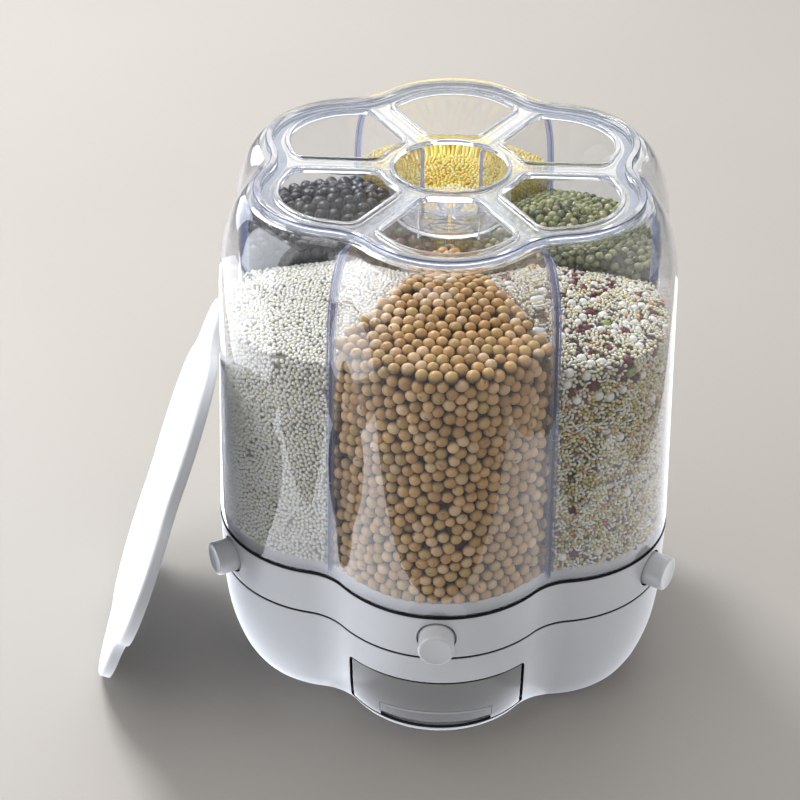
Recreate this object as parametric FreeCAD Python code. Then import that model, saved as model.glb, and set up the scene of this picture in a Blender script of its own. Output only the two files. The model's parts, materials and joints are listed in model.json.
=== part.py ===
import FreeCAD, Part
import math
import os

# Rotating grain dispenser: a six-lobed clear barrel with six compartments stands on a white
# ring with six push buttons, and turns on a white base with a measuring drawer at the front.
# Millimetres, +Z up, origin on the ground under the turning axis, front lobe towards -Y.

V = FreeCAD.Vector
os.makedirs("parts", exist_ok=True)

# ---------------------------------------------------------------- driving dimensions
N = 6                          # lobes and compartments
FRONT = -90.0                  # azimuth of the front lobe, degrees

# outlines are (R, rho, phi): lobe peak radius, lobe arc radius, valley fillet radius
BASE_FOOT = (116.4, 52.1, 30.1)    # base outline at the ground
BASE_RIM = (129.6, 65.0, 31.9)     # base outline at the parting line
RING_TOP = (130.0, 64.0, 30.9)     # ring outline under the barrel
BARREL_BOT = (130.0, 64.0, 30.9)
BARREL_MID = (124.3, 61.5, 30.0)   # barrel outline at Z_TAPER
RIM_OUT = (105.4, 46.5, 34.8)      # outer wall of the raised rim

WALL = 2.4                     # wall of the white mouldings and of the barrel

Z_FOOT = 1.2                   # underside of the bottom plate
BOT_T = 2.6                    # bottom plate
Z_SILL = 5.0                   # top of the front sill, bottom edge of the drawer bay
Z_BAY = 45.2                   # top edge of the drawer bay
BAY_X = 46.0                   # half width of the drawer bay
Z_DECK = 53.4                  # underside of the fixed deck
DECK_T = 3.0
Z_BASE_TOP = 61.5              # top edge of the base
Z_RING_BOT = 62.3              # bottom edge of the ring
Z_TABLE = 62.4                 # underside of the turntable plate
TABLE_T = 2.8
Z_RING = 88.0                  # top of the ring
SEAL_T = 1.75                  # dark gasket between ring and barrel
Z_BARREL = Z_RING + SEAL_T     # bottom edge of the barrel
Z_TAPER = 230.0                # the barrel tapers straight up to here, then the shoulder starts
Z_LEDGE = 276.0                # ledge round the raised rim, which the closed lid rests on
Z_RIM = 280.0                  # top of the rim
Z_TOPDECK = 275.0              # underside of the clear top deck
TOPDECK_T = 2.0

POST_R = 9.98                  # centre post, 0.07 running clearance in the hub
HUB_BORE_R = 10.05
RACE_R = 62.0                  # ball race
BALL_R = 3.3
GROOVE_R = 3.5
BALLS = 12

OUT_R = 78.0                   # radius of the grain outlets
OUT_L = 9.4                    # outlet, radial length
OUT_W = 30.0                   # outlet, width
BTN_Z = 75.3                   # button axis height
BTN_R = 9.2
BTN_HOLE_R = 10.2
BTN_FACE = 140.0               # button face radius at rest
BTN_TRAVEL = 10.0
STEM_R = 3.0
BRACKET_R0, BRACKET_R1 = 104.0, 106.4

DRAWER_X = 42.0                # half width of the drawer's tray
DRAWER_BACK = -38.0
DRAWER_TOP = 40.0
DRAWER_TRAVEL = 85.0
SLOT_TOP = 11.0                # lower edge of the front skin over the finger slot

VANE_T = 2.2
CUP_R = 29.0                   # inside radius of the centre cup in the top deck
CUP_FLOOR = 251.0
SPOKE_W = 14.0

LID_T = 2.0                    # lid plate
LID_H = 6.0                    # lid height over all
LID_WALL = 1.8
# the lid leans on the left of the barrel: outward normal elevation and azimuth, spin in its plane
LID_EL, LID_AZ, LID_SPIN = 20.0, 182.35, 29.5
LID_C = (-156.3, -33.7, 0.0)   # centre of its top face; the height follows from standing on the ground


# ---------------------------------------------------------------- helpers
def rad(a):
    return math.radians(a)


def pol(r, a, z=0.0):
    return V(r * math.cos(rad(a)), r * math.sin(rad(a)), z)


def inset(o, d):
    return (o[0] - d, o[1] - d, o[2] + d)


def mix(a, b, t):
    return tuple(a[i] + (b[i] - a[i]) * t for i in range(3))


def lobed(o, z):
    """Closed outline of six lobe arcs joined by six valley fillets, at height z."""
    R, rho, phi = o
    c = R - rho
    b = 2 * c * math.cos(math.pi / N)
    e = (b + math.sqrt(b * b - 4 * (c * c - (rho + phi) ** 2))) / 2
    edges = []
    for k in range(N):
        a = FRONT + 60 * k
        C, Fm, Fp, C2 = pol(c, a, z), pol(e, a - 30, z), pol(e, a + 30, z), pol(c, a + 60, z)
        Tm = C + (Fm - C) * (rho / (rho + phi))
        Tp = C + (Fp - C) * (rho / (rho + phi))
        Tn = C2 + (Fp - C2) * (rho / (rho + phi))
        edges.append(Part.Arc(Tm, pol(R, a, z), Tp).toShape())
        edges.append(Part.Arc(Tp, pol(e - phi, a + 30, z), Tn).toShape())
    return Part.Wire(edges)


def prism(o, z0, z1):
    return Part.Face(lobed(o, z0)).extrude(V(0, 0, z1 - z0))


def loft(sections):
    """Solid through lobed outlines: a list of (outline, z) from the bottom up."""
    return Part.makeLoft([lobed(o, z) for o, z in sections], True, True)


def ring_of(o, d0, d1, z0, z1):
    """Lobed band between the insets d0 and d1 of an outline."""
    return prism(inset(o, d0), z0, z1).cut(prism(inset(o, d1), z0 - 1, z1 + 1))


def box(x0, x1, y0, y1, z0, z1):
    return Part.makeBox(x1 - x0, y1 - y0, z1 - z0, V(x0, y0, z0))


def cyl(r, z0, z1, x=0.0, y=0.0):
    return Part.makeCylinder(r, z1 - z0, V(x, y, z0))


def radial_box(r0, r1, w, z0, z1, a=0.0):
    """Box from radius r0 to r1 along azimuth a, w wide."""
    b = box(r0, r1, -w / 2, w / 2, z0, z1)
    b.rotate(V(0, 0, 0), V(0, 0, 1), a)
    return b


def radial_cyl(r, d0, d1, z, a=0.0):
    c = Part.makeCylinder(r, d1 - d0, V(d0, 0, z), V(1, 0, 0))
    c.rotate(V(0, 0, 0), V(0, 0, 1), a)
    return c


def turned(s, a):
    s = s.copy()
    s.rotate(V(0, 0, 0), V(0, 0, 1), a)
    return s


def fuse(shapes):
    s = shapes[0]
    if len(shapes) > 1:
        s = s.multiFuse(shapes[1:])
    return s


def save(name, shape, solids=1):
    if shape.ShapeType == "Compound" and len(shape.Solids) == 1:
        shape = shape.Solids[0]
    n = len(shape.Solids)
    ok = shape.isValid() and all(s.isClosed() for s in shape.Solids)
    if n != solids or not ok:
        print("CHECK", name, "solids", n, "wanted", solids, "valid", shape.isValid())
    shape.exportStep("parts/" + name + ".step")
    bb = shape.BoundBox
    print("%-20s %2d solids %9.1f mm3  x %.1f %.1f  y %.1f %.1f  z %.1f %.1f" % (
        name, n, sum(s.Volume for s in shape.Solids), bb.XMin, bb.XMax, bb.YMin, bb.YMax, bb.ZMin, bb.ZMax))


AZ = [FRONT + 60 * k for k in range(N)]          # lobe centres
VAL = [FRONT + 30 + 60 * k for k in range(N)]    # valleys, where the vanes run

# ---------------------------------------------------------------- base
base_r = [(1.0, 116.9), (5.0, 119.2), (10.0, 121.6), (20.0, 124.9), (30.0, 127.2), (42.0, 128.8), (52.0, 129.4), (Z_BASE_TOP, 129.6)]


def base_outline(R):
    t = (R - BASE_FOOT[0]) / (BASE_RIM[0] - BASE_FOOT[0])
    return mix(BASE_FOOT, BASE_RIM, t)


def base_solid(d):
    """The base's outer form, inset by d, a little longer than the base when it is inset."""
    s = [(inset(base_outline(R), d), z) for z, R in base_r]
    if d > 0:
        s[0] = (s[0][0], 0.5)
        s[-1] = (s[-1][0], Z_BASE_TOP + 0.5)
    return loft(s)


base_out = base_solid(0)
base_in = base_solid(WALL)
shell = base_out.cut(base_in)
ledge = prism(inset(base_outline(129.4), WALL - 0.6), Z_DECK - 2.4, Z_DECK).cut(prism(inset(BASE_RIM, 8.0), Z_DECK - 4, Z_DECK + 1)).common(base_out)
lip = base_out.common(prism(inset(base_outline(116.9), -6.0), Z_FOOT + BOT_T, Z_SILL)).cut(prism(inset(base_outline(116.9), 7.0), 0, Z_SILL + 1))
lip = lip.cut(box(-48, 48, -140, -30, 0, Z_SILL + 1))
shell = fuse([shell, ledge, lip])
shell = shell.cut(box(-BAY_X, BAY_X, -140, -60, Z_SILL, Z_BAY))
save("base_shell", shell)

# centre foot and six feet under the lobes
feet = [cyl(9.0, 0, Z_FOOT)] + [cyl(6.5, 0, Z_FOOT, *pol(94.0, a)[:2]) for a in AZ]
save("rubber_feet", Part.makeCompound(feet), 7)

posts_at = [(66.0, -30.0), (-66.0, -30.0), (50.0, 66.0), (-50.0, 66.0)]
bottom = prism(inset(base_outline(116.9), 3.0), Z_FOOT, Z_FOOT + BOT_T)
for x, y in posts_at:
    bottom = bottom.cut(cyl(1.7, 0, 10, x, y)).cut(cyl(3.4, Z_FOOT - 1, Z_FOOT + 1.4, x, y))
save("base_bottom_plate", bottom)

deck = prism(inset(BASE_RIM, WALL + 0.5), Z_DECK, Z_DECK + DECK_T)
for x, y in posts_at:
    deck = deck.fuse(cyl(4.2, Z_FOOT + BOT_T, Z_DECK + 0.5, x, y))
deck = deck.fuse(cyl(16.0, Z_DECK + DECK_T - 0.5, Z_DECK + DECK_T + 2.2)).fuse(cyl(POST_R, Z_DECK, 72.3))
deck = deck.cut(Part.makeTorus(RACE_R, GROOVE_R, V(0, 0, (Z_DECK + DECK_T + Z_TABLE) / 2)))
deck = deck.cut(cyl(2.05, 55.5, 80))
for x, y in posts_at:
    deck = deck.cut(cyl(1.5, 0, 20, x, y))
deck = deck.cut(box(-18, 18, -OUT_R - 8, -OUT_R + 8, 40, 60))
save("base_deck", deck)

chute = box(-20, 20, -OUT_R - 10, -OUT_R + 10, 45.9, Z_DECK).cut(box(-18, 18, -OUT_R - 8, -OUT_R + 8, 40, 60))
save("outlet_chute", chute)

screws = []
for x, y in posts_at:
    s = cyl(3.2, Z_FOOT + 0.2, Z_FOOT + 1.4, x, y).fuse(cyl(1.5, Z_FOOT + 1.3, 16.0, x, y))
    s = s.cut(box(x - 2.4, x + 2.4, y - 0.4, y + 0.4, 0, Z_FOOT + 0.7)).cut(box(x - 0.4, x + 0.4, y - 2.4, y + 2.4, 0, Z_FOOT + 0.7))
    screws.append(s)
save("bottom_screws", Part.makeCompound(screws), 4)

for side, name in ((-1, "drawer_rail_left"), (1, "drawer_rail_right")):
    rail = box(36.0, 44.4, -84, -30, Z_FOOT + BOT_T, Z_SILL).fuse(box(42.4, 44.4, -84, -30, Z_FOOT + BOT_T, 20.0))
    rail = rail.fuse(box(36.0, 44.4, -34.0, -30, Z_FOOT + BOT_T, 20.0))
    if side < 0:
        rail = rail.mirror(V(0, 0, 0), V(1, 0, 0))
    save(name, rail)

washer = cyl(14.0, 72.3, 73.8).cut(cyl(2.2, 70, 80))
save("pivot_washer", washer)
pscrew = cyl(5.0, 73.8, 76.8).fuse(cyl(2.05, 57.0, 74.0))
pscrew = pscrew.makeFillet(1.2, [e for e in pscrew.Edges if abs(e.BoundBox.ZMin - 76.8) < 1e-6 and abs(e.BoundBox.ZMax - 76.8) < 1e-6])
pscrew = pscrew.cut(box(-3.2, 3.2, -0.5, 0.5, 75.4, 78)).cut(box(-0.5, 0.5, -3.2, 3.2, 75.4, 78))
save("pivot_screw", pscrew)

# ---------------------------------------------------------------- bearing between base and turntable
z_ball = (Z_DECK + DECK_T + Z_TABLE) / 2
cage = cyl(68.5, z_ball - 0.8, z_ball + 0.8).cut(cyl(55.5, z_ball - 2, z_ball + 2))
balls = []
for k in range(BALLS):
    p = pol(RACE_R, k * 360.0 / BALLS + 15, z_ball)
    cage = cage.cut(cyl(BALL_R + 0.15, z_ball - 2, z_ball + 2, p.x, p.y))
    balls.append(Part.makeSphere(BALL_R, p))
save("ball_cage", cage)
save("bearing_balls", Part.makeCompound(balls), BALLS)

# ---------------------------------------------------------------- drawer
dw_out = base_solid(0.5)
dw_in = base_solid(2.9)
front = dw_out.cut(dw_in).common(box(-44.7, 44.7, -140, -60, Z_SILL + 0.6, Z_BAY - 0.8))
body = box(-DRAWER_X, DRAWER_X, -140, DRAWER_BACK, Z_SILL + 0.3, DRAWER_TOP).common(dw_out)
tray = fuse([front, body])
cavity = box(-DRAWER_X + 2, DRAWER_X - 2, -140, DRAWER_BACK - 2, Z_SILL + 2.3, 60).common(dw_in)
# finger pocket behind the front skin, open below, with a curved back wall
pocket = box(-32.0, 32.0, -140, -60, Z_SILL + 0.3, 30.0).cut(cyl(73.4, 0, 60, 0, -30.5))
tray = tray.cut(cavity.cut(pocket))
hollow = box(-30.4, 30.4, -140, -60, Z_SILL - 1, 28.4).cut(cyl(75.0, 0, 60, 0, -30.5))
tray = tray.cut(hollow.common(dw_in)).cut(hollow.common(box(-29.2, 29.2, -140, -60, 0, SLOT_TOP)))
rib = dw_in.cut(base_solid(4.4)).common(box(-0.8, 0.8, -140, -60, SLOT_TOP, Z_BAY - 2.0))     # stiffens the skin
tray = tray.fuse(rib)
save("drawer_tray", tray.removeSplitter())

# ---------------------------------------------------------------- turntable plate
table = prism(inset(BASE_RIM, WALL + 0.4), Z_TABLE, Z_TABLE + TABLE_T)
table = table.fuse(cyl(16.0, Z_TABLE + 0.5, 72.0))
for a in AZ:
    table = table.fuse(radial_box(BRACKET_R0, BRACKET_R1, 16.0, Z_TABLE + 1.0, 80.0, a))
table = table.cut(Part.makeTorus(RACE_R, GROOVE_R, V(0, 0, z_ball)))
table = table.cut(cyl(HUB_BORE_R, 60, 80))
for a in AZ:
    table = table.cut(radial_box(OUT_R - 6.5, OUT_R + 6.5, 34.0, 60, 70, a))
    table = table.cut(radial_cyl(STEM_R + 0.08, 100, 110, BTN_Z, a))
for a in VAL:
    p = pol(92.0, a)
    table = table.cut(cyl(1.7, 60, 70, p.x, p.y)).cut(cyl(3.4, 60, Z_TABLE + 1.5, p.x, p.y))
save("turntable_plate", table)

# ---------------------------------------------------------------- button ring
ring = loft([(BASE_RIM, Z_RING_BOT), (RING_TOP, Z_RING)])
ring = ring.cut(loft([(inset(BASE_RIM, WALL), Z_RING_BOT - 0.01), (inset(RING_TOP, WALL), Z_RING + 0.01)]))
seat = ring_of(BASE_RIM, WALL - 0.5, 7.0, Z_TABLE + TABLE_T, Z_TABLE + TABLE_T + 2.0)
for a in AZ:
    seat = seat.cut(radial_box(100, 127.0, 30.0, 60, 70, a))
top_flange = ring_of(RING_TOP, WALL - 0.5, 8.4, Z_RING - 2.4, Z_RING)
ring = fuse([ring, seat, top_flange])
for a in AZ:
    ring = ring.cut(radial_cyl(BTN_HOLE_R, 118, 140, BTN_Z, a))
save("button_ring", ring)

# ---------------------------------------------------------------- hopper floor
floor = prism(inset(RING_TOP, 5.2), Z_RING, Z_RING + 4.0)
floor = fuse([floor, prism(inset(RING_TOP, 8.8), 82.0, Z_RING + 0.5), ring_of(RING_TOP, 5.2, 7.0, Z_RING + 3.5, 95.0)])
for a in VAL:
    p = pol(92.0, a)
    floor = floor.fuse(cyl(4.5, Z_TABLE + TABLE_T, 82.5, p.x, p.y))
guides = []
for a in AZ:
    for s in (-1, 1):
        g = box(56.0, 100.0, 20.3, 22.8, 77.0, 82.5).fuse(box(56.0, 100.0, 17.0, 22.8, 77.0, 79.0))
        if s < 0:
            g = g.mirror(V(0, 0, 0), V(0, 1, 0))
        guides.append(turned(g, a))
floor = fuse([floor] + guides)
for a in AZ:
    z1, z0 = Z_RING + 4.0, 84.5
    wt = Part.makePolygon([V(40, -16, z1), V(106, -38, z1), V(106, 38, z1), V(40, 16, z1), V(40, -16, z1)])
    h, w = OUT_L / 2, OUT_W / 2
    wb = Part.makePolygon([V(OUT_R - h, -w, z0), V(OUT_R + h, -w, z0), V(OUT_R + h, w, z0), V(OUT_R - h, w, z0), V(OUT_R - h, -w, z0)])
    hop = Part.makeLoft([wb, wt], True, True)
    floor = floor.cut(turned(hop, a))
    floor = floor.cut(radial_box(OUT_R - h, OUT_R + h, OUT_W, 80, 86, a))
    floor = floor.cut(radial_cyl(BTN_R + 0.5, 114.5, 130, BTN_Z, a))      # room for the pressed button's head
for a in VAL:
    p = pol(92.0, a)
    floor = floor.cut(cyl(1.5, 60, 80, p.x, p.y))
    floor = floor.cut(radial_box(80, 130, VANE_T + 0.4, Z_RING + 4.0, 96, a))    # slots that take the vanes' feet
save("hopper_floor", floor)

tscrews = []
for a in VAL:
    p = pol(92.0, a)
    s = cyl(3.2, Z_TABLE + 0.3, Z_TABLE + 1.5, p.x, p.y).fuse(cyl(1.5, Z_TABLE + 1.4, 78.0, p.x, p.y))
    s = s.cut(box(p.x - 2.4, p.x + 2.4, p.y - 0.4, p.y + 0.4, 60, Z_TABLE + 0.8)).cut(box(p.x - 0.4, p.x + 0.4, p.y - 2.4, p.y + 2.4, 60, Z_TABLE + 0.8))
    tscrews.append(s)
save("turret_screws", Part.makeCompound(tscrews), N)

# ---------------------------------------------------------------- gates, buttons and their springs
gate0 = box(68.0, 99.0, -20.0, 20.0, 79.3, 81.7)
gate0 = gate0.cut(box(OUT_R + BTN_TRAVEL - OUT_L / 2, OUT_R + BTN_TRAVEL + OUT_L / 2, -15.2, 15.2, 70, 90))
gate0 = gate0.fuse(box(96.0, 99.0, -8.0, 8.0, 70.5, 80.0))
gate0 = gate0.cut(radial_cyl(STEM_R, 90, 110, BTN_Z))

btn0 = radial_cyl(BTN_R, 125.7, BTN_FACE, BTN_Z)
btn0 = btn0.makeFillet(1.4, [e for e in btn0.Edges if abs(e.BoundBox.XMin - BTN_FACE) < 1e-6 and abs(e.BoundBox.XMax - BTN_FACE) < 1e-6])
btn0 = btn0.fuse(box(123.5, 125.8, -12.8, 12.8, BTN_Z - 4.0, BTN_Z + 4.0)).fuse(radial_cyl(STEM_R, 96.0, 124.0, BTN_Z))


def coil(r, wire, x0, x1, turns, steps=8):
    """Coil spring along X as closed rings joined by a strip, one solid of round wire."""
    helix = Part.makeHelix((x1 - x0 - wire) / turns, x1 - x0 - wire, r)
    helix.rotate(V(0, 0, 0), V(0, 1, 0), 90)
    helix.translate(V(x0 + wire / 2, 0, 0))
    e0 = helix.Edges[0]
    p = e0.valueAt(e0.FirstParameter)
    t = e0.tangentAt(e0.FirstParameter)
    prof = Part.Wire([Part.Circle(p, t, wire / 2).toShape()])
    pipe = Part.Wire(helix.Edges).makePipeShell([prof], True, True)
    return pipe


spr0 = coil(4.5, 0.9, BRACKET_R1, 123.5, 5)
spr0.translate(V(0, 0, BTN_Z))
for k, a in enumerate(AZ, 1):
    save("gate_slide_%d" % k, turned(gate0, a))
    save("button_%d" % k, turned(btn0, a))
    save("return_spring_%d" % k, turned(spr0, a))

# ---------------------------------------------------------------- barrel
save("barrel_seal", ring_of(RING_TOP, 0.4, 4.6, Z_RING, Z_BARREL))


def barrel_sections(d):
    """Barrel's outer form, inset by d: straight taper, then the rounded shoulder."""
    mid = inset(BARREL_MID, d)
    s = [(inset(BARREL_BOT, d), Z_BARREL - (0.5 if d else 0)), (mid, Z_TAPER)]
    top = inset((108.5, 48.5, 35.5), d)
    for z, t in ((244.0, 0.07), (254.0, 0.19), (262.0, 0.35), (268.0, 0.53), (272.5, 0.73), (275.0, 0.90)):
        s.append((mix(mid, top, t), z - d * t * 0.8))
    s.append((top, Z_LEDGE - d * 0.9))
    return s


outer = loft(barrel_sections(0))
inner = loft(barrel_sections(WALL))
seat_in = inset(RIM_OUT, 8.4)
barrel = outer.fuse(prism(RIM_OUT, Z_LEDGE - 2.0, Z_RIM))
barrel = barrel.cut(inner)
barrel = barrel.cut(prism(inset(RIM_OUT, 4.0), Z_TOPDECK, Z_RIM + 1)).cut(prism(seat_in, Z_TOPDECK - 8, Z_TOPDECK + 1))
rib_band = loft(barrel_sections(WALL - 0.6)).common(box(-150, 150, -150, 150, 96.0, 268.0))
rib_core = loft(barrel_sections(WALL + 2.6)).common(box(-150, 150, -150, 150, 92.0, 274.0))
ribs = []
for a in VAL:
    for s in (-1, 1):
        b = box(85, 120, VANE_T / 2 + 0.15, VANE_T / 2 + 1.35, 96.0, 268.0)
        if s < 0:
            b = b.mirror(V(0, 0, 0), V(0, 1, 0))
        ribs.append(turned(b, a))
rib_set = Part.makeCompound(ribs).common(rib_band.cut(rib_core))
barrel = barrel.multiFuse(rib_set.Solids)
save("barrel_shell", barrel)

vane_env = loft([(o, z) for o, z in barrel_sections(WALL + 0.35)]).common(box(-150, 150, -150, 150, 92.3, Z_TOPDECK))
vanes = fuse([radial_box(-130, 130, VANE_T, 92.3, Z_TOPDECK, a) for a in VAL[:3]] + [cyl(4.0, 92.3, Z_TOPDECK)])
vanes = vanes.common(vane_env).cut(cyl(CUP_R + VANE_T + 0.3, CUP_FLOOR, 290))
save("divider_insert", vanes)

topdeck = prism(inset(RIM_OUT, 4.3), Z_TOPDECK, Z_TOPDECK + TOPDECK_T)
holes = prism(inset(RIM_OUT, 13.0), Z_TOPDECK - 1, Z_TOPDECK + TOPDECK_T + 1)
holes = holes.cut(cyl(37.0, Z_TOPDECK - 2, Z_RIM + 2))
for a in VAL[:3]:
    holes = holes.cut(radial_box(-130, 130, SPOKE_W, Z_TOPDECK - 2, Z_RIM + 2, a))
topdeck = topdeck.cut(holes)
topdeck = topdeck.fuse(cyl(CUP_R + VANE_T, CUP_FLOOR, Z_TOPDECK + 3.2)).cut(cyl(CUP_R, CUP_FLOOR + 2.0, Z_RIM + 2))
save("top_deck", topdeck)

# ---------------------------------------------------------------- lid, leaning on the barrel
lid_fit = inset(RIM_OUT, -0.9)                 # inside of the skirt, over the raised rim
lid_out = inset(lid_fit, -LID_WALL)
lid = loft([(lid_out, -LID_H), (lid_out, -1.8), (inset(lid_out, 0.6), -0.5), (inset(lid_out, 1.8), 0.0)])
lid = lid.cut(prism(lid_fit, -LID_H - 1, -LID_T))
plug = ring_of(RIM_OUT, 4.6, 6.4, -LID_H + 0.4, -LID_T + 0.3)      # locating rib that drops inside the rim
lid = lid.fuse(plug)
seal = ring_of(RIM_OUT, 0.2, 3.8, -LID_T - 1.2, -LID_T)

n = V(math.cos(rad(LID_EL)) * math.cos(rad(LID_AZ)), math.cos(rad(LID_EL)) * math.sin(rad(LID_AZ)), math.sin(rad(LID_EL)))
e1 = V(0, 0, 1).cross(n)
e1.normalize()
e2 = n.cross(e1)
ax = e1 * math.cos(rad(LID_SPIN)) + e2 * math.sin(rad(LID_SPIN))
ay = n.cross(ax)
M = FreeCAD.Matrix(ax.x, ay.x, n.x, LID_C[0], ax.y, ay.y, n.y, LID_C[1], ax.z, ay.z, n.z, 0.0, 0, 0, 0, 1)


def lid_place(s, dz):
    s = s.copy()
    m = FreeCAD.Matrix(M)
    m.A34 = dz
    s.transformShape(m, True)
    return s


# height that puts the skirt's lowest point on the ground
low = 1e9
for w, zz in ((lobed(lid_out, -LID_H), None), (lobed(lid_out, -1.8), None)):
    for p in w.discretize(Number=1440):
        q = M.multVec(p)
        low = min(low, q.z)
dz = -low
print("lid centre height", dz)
lid_w, seal_w = lid_place(lid, dz), lid_place(seal, dz)
save("lid", lid_w)
save("lid_seal", seal_w)
d = lid_w.distToShape(barrel)[0]
print("lid to barrel clearance", round(d, 3), "at", lid_w.distToShape(barrel)[1][0])
for k, a in enumerate(AZ, 1):
    dd = lid_w.distToShape(turned(btn0, a))[0]
    if dd < 20:
        print("lid to button", k, round(dd, 2))
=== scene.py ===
import json
import math

import bmesh
import bpy
import numpy as np
from mathutils import Matrix, Vector


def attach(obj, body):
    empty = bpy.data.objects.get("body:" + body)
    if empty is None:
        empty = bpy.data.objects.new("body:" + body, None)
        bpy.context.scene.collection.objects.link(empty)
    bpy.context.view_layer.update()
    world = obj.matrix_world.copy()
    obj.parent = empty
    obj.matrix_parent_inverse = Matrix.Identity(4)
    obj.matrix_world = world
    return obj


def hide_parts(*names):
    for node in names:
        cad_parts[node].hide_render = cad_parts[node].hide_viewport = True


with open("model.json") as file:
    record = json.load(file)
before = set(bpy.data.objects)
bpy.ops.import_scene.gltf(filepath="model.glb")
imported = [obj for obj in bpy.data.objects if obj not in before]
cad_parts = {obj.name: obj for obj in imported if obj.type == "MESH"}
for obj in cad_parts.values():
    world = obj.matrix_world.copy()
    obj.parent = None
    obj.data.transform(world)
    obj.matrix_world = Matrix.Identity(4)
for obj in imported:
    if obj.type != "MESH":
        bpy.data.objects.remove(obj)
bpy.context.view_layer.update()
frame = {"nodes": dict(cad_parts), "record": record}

# ============================================================================ camera
# The eye stands above the front edge of the worktop and looks down at the object.
MM = 0.001
EYE = Vector((15.34, -887.04, 711.71)) * MM
LOOK = Vector((-0.03826833, 0.83780437, -0.54462774))
RIGHT = Vector((0.99879541, 0.04882116, 0.00492143))
UP = Vector((-0.03071255, 0.54378335, 0.83866346))
cam_data = bpy.data.cameras.new("camera")
cam_data.sensor_width = 36.0
cam_data.lens = 86.95
cam_data.clip_start, cam_data.clip_end = 0.02, 30.0
cam = bpy.data.objects.new("camera", cam_data)
cam.matrix_world = Matrix((
    (RIGHT.x, UP.x, -LOOK.x, EYE.x),
    (RIGHT.y, UP.y, -LOOK.y, EYE.y),
    (RIGHT.z, UP.z, -LOOK.z, EYE.z),
    (0, 0, 0, 1)))
bpy.context.scene.collection.objects.link(cam)
bpy.context.scene.camera = cam

# ============================================================================ sizes, in millimetres
N = 6
AZ = [-90 + 60 * k for k in range(N)]
VAL = [-60 + 60 * k for k in range(N)]
C30, S30 = math.cos(math.pi / 6), 0.5

BASE_FOOT, BASE_RIM = (116.4, 52.1, 30.1), (129.6, 65.0, 31.9)
RING_TOP = BARREL_BOT = (130.0, 64.0, 30.9)
BARREL_MID, BARREL_TOP = (124.3, 61.5, 30.0), (108.5, 48.5, 35.5)
RIM_OUT = (105.4, 46.5, 34.8)
WALL = 2.4
Z_RING_BOT, Z_RING, Z_BARREL, Z_TAPER, Z_LEDGE, Z_RIM = 62.3, 88.0, 89.75, 230.0, 276.0, 280.0
Z_DECK = 275.0
BTN_Z, BTN_R, BTN_HOLE = 75.3, 9.2, 10.2
LID_EL, LID_AZ, LID_SPIN = 20.0, 182.35, 29.5
LID_C, LID_H = (-156.3, -33.7), 6.0


def inset(o, d):
    return (o[0] - d, o[1] - d, o[2] + d)


def mix(a, b, t):
    return tuple(a[i] + (b[i] - a[i]) * t for i in range(3))


def geo(o):
    """Lobe circle's centre distance, valley circle's centre distance and the angle where they meet."""
    R, rho, phi = o
    c = R - rho
    b = 2 * c * C30
    e = (b + np.sqrt(b * b - 4 * (c * c - (rho + phi) ** 2))) / 2
    return c, e, np.arctan2(e * S30, e * C30 - c)


def columns(na, nf):
    """Places round one lobe, as (kind, t): na steps over the lobe's arc, nf over the valley that follows."""
    return [("a", -1 + 2 * i / na) for i in range(na + 1)] + [("f", i / nf) for i in range(1, nf)]


def lobe_point(o, col):
    """x, y in a lobe's own frame, its peak towards +x."""
    R, rho, phi = o
    c, e, beta = geo(o)
    kind, t = col
    if kind == "a":
        return c + rho * math.cos(beta * t), rho * math.sin(beta * t)
    ang = math.pi + beta + t * (math.radians(60) - 2 * beta)
    return e * C30 + phi * math.cos(ang), e * S30 + phi * math.sin(ang)


def turn(x, y, deg):
    a = math.radians(deg)
    return x * math.cos(a) - y * math.sin(a), x * math.sin(a) + y * math.cos(a)


def outline(o, cols):
    """The whole closed outline as an array of x, y."""
    one = np.array([lobe_point(o, c) for c in cols])
    out = []
    for a in AZ:
        x, y = turn(one[:, 0], one[:, 1], a)
        out.append(np.stack([x, y], 1))
    return np.concatenate(out)


def lobe_x(o, y):
    """x of the outline at the sideways place y, in the lobe's own frame, out to the valley."""
    R, rho, phi = o
    c, e, beta = geo(o)
    y = abs(y)
    if y <= rho * math.sin(beta):
        return c + math.sqrt(rho * rho - y * y)
    return e * C30 - math.sqrt(max(phi * phi - (y - e * S30) ** 2, 0.0))


def smooth_curve(points, per=6):
    """Catmull-Rom through points."""
    p = np.array(points, float)
    q = np.concatenate([[2 * p[0] - p[1]], p, [2 * p[-1] - p[-2]]])
    out = []
    for i in range(1, len(q) - 2):
        for s in range(per):
            t = s / per
            out.append(0.5 * (2 * q[i] + (q[i + 1] - q[i - 1]) * t + (2 * q[i - 1] - 5 * q[i] + 4 * q[i + 1] - q[i + 2]) * t * t
                              + (3 * q[i] - q[i - 1] - 3 * q[i + 1] + q[i + 2]) * t ** 3))
    out.append(p[-1])
    return [tuple(x) for x in out]


def fillet(d0, z0, dd, dz, r, n=4, first="d"):
    """Quarter round from (d0, z0), r along d and z; first says which way it leaves."""
    out = []
    for i in range(n + 1):
        t = math.pi / 2 * i / n
        if first == "z":      # leaves along z, arrives along d
            out.append((d0 + dd * r * (1 - math.cos(t)), z0 + dz * r * math.sin(t)))
        else:                 # leaves along d, arrives along z
            out.append((d0 + dd * r * math.sin(t), z0 + dz * r * (1 - math.cos(t))))
    return out


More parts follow.
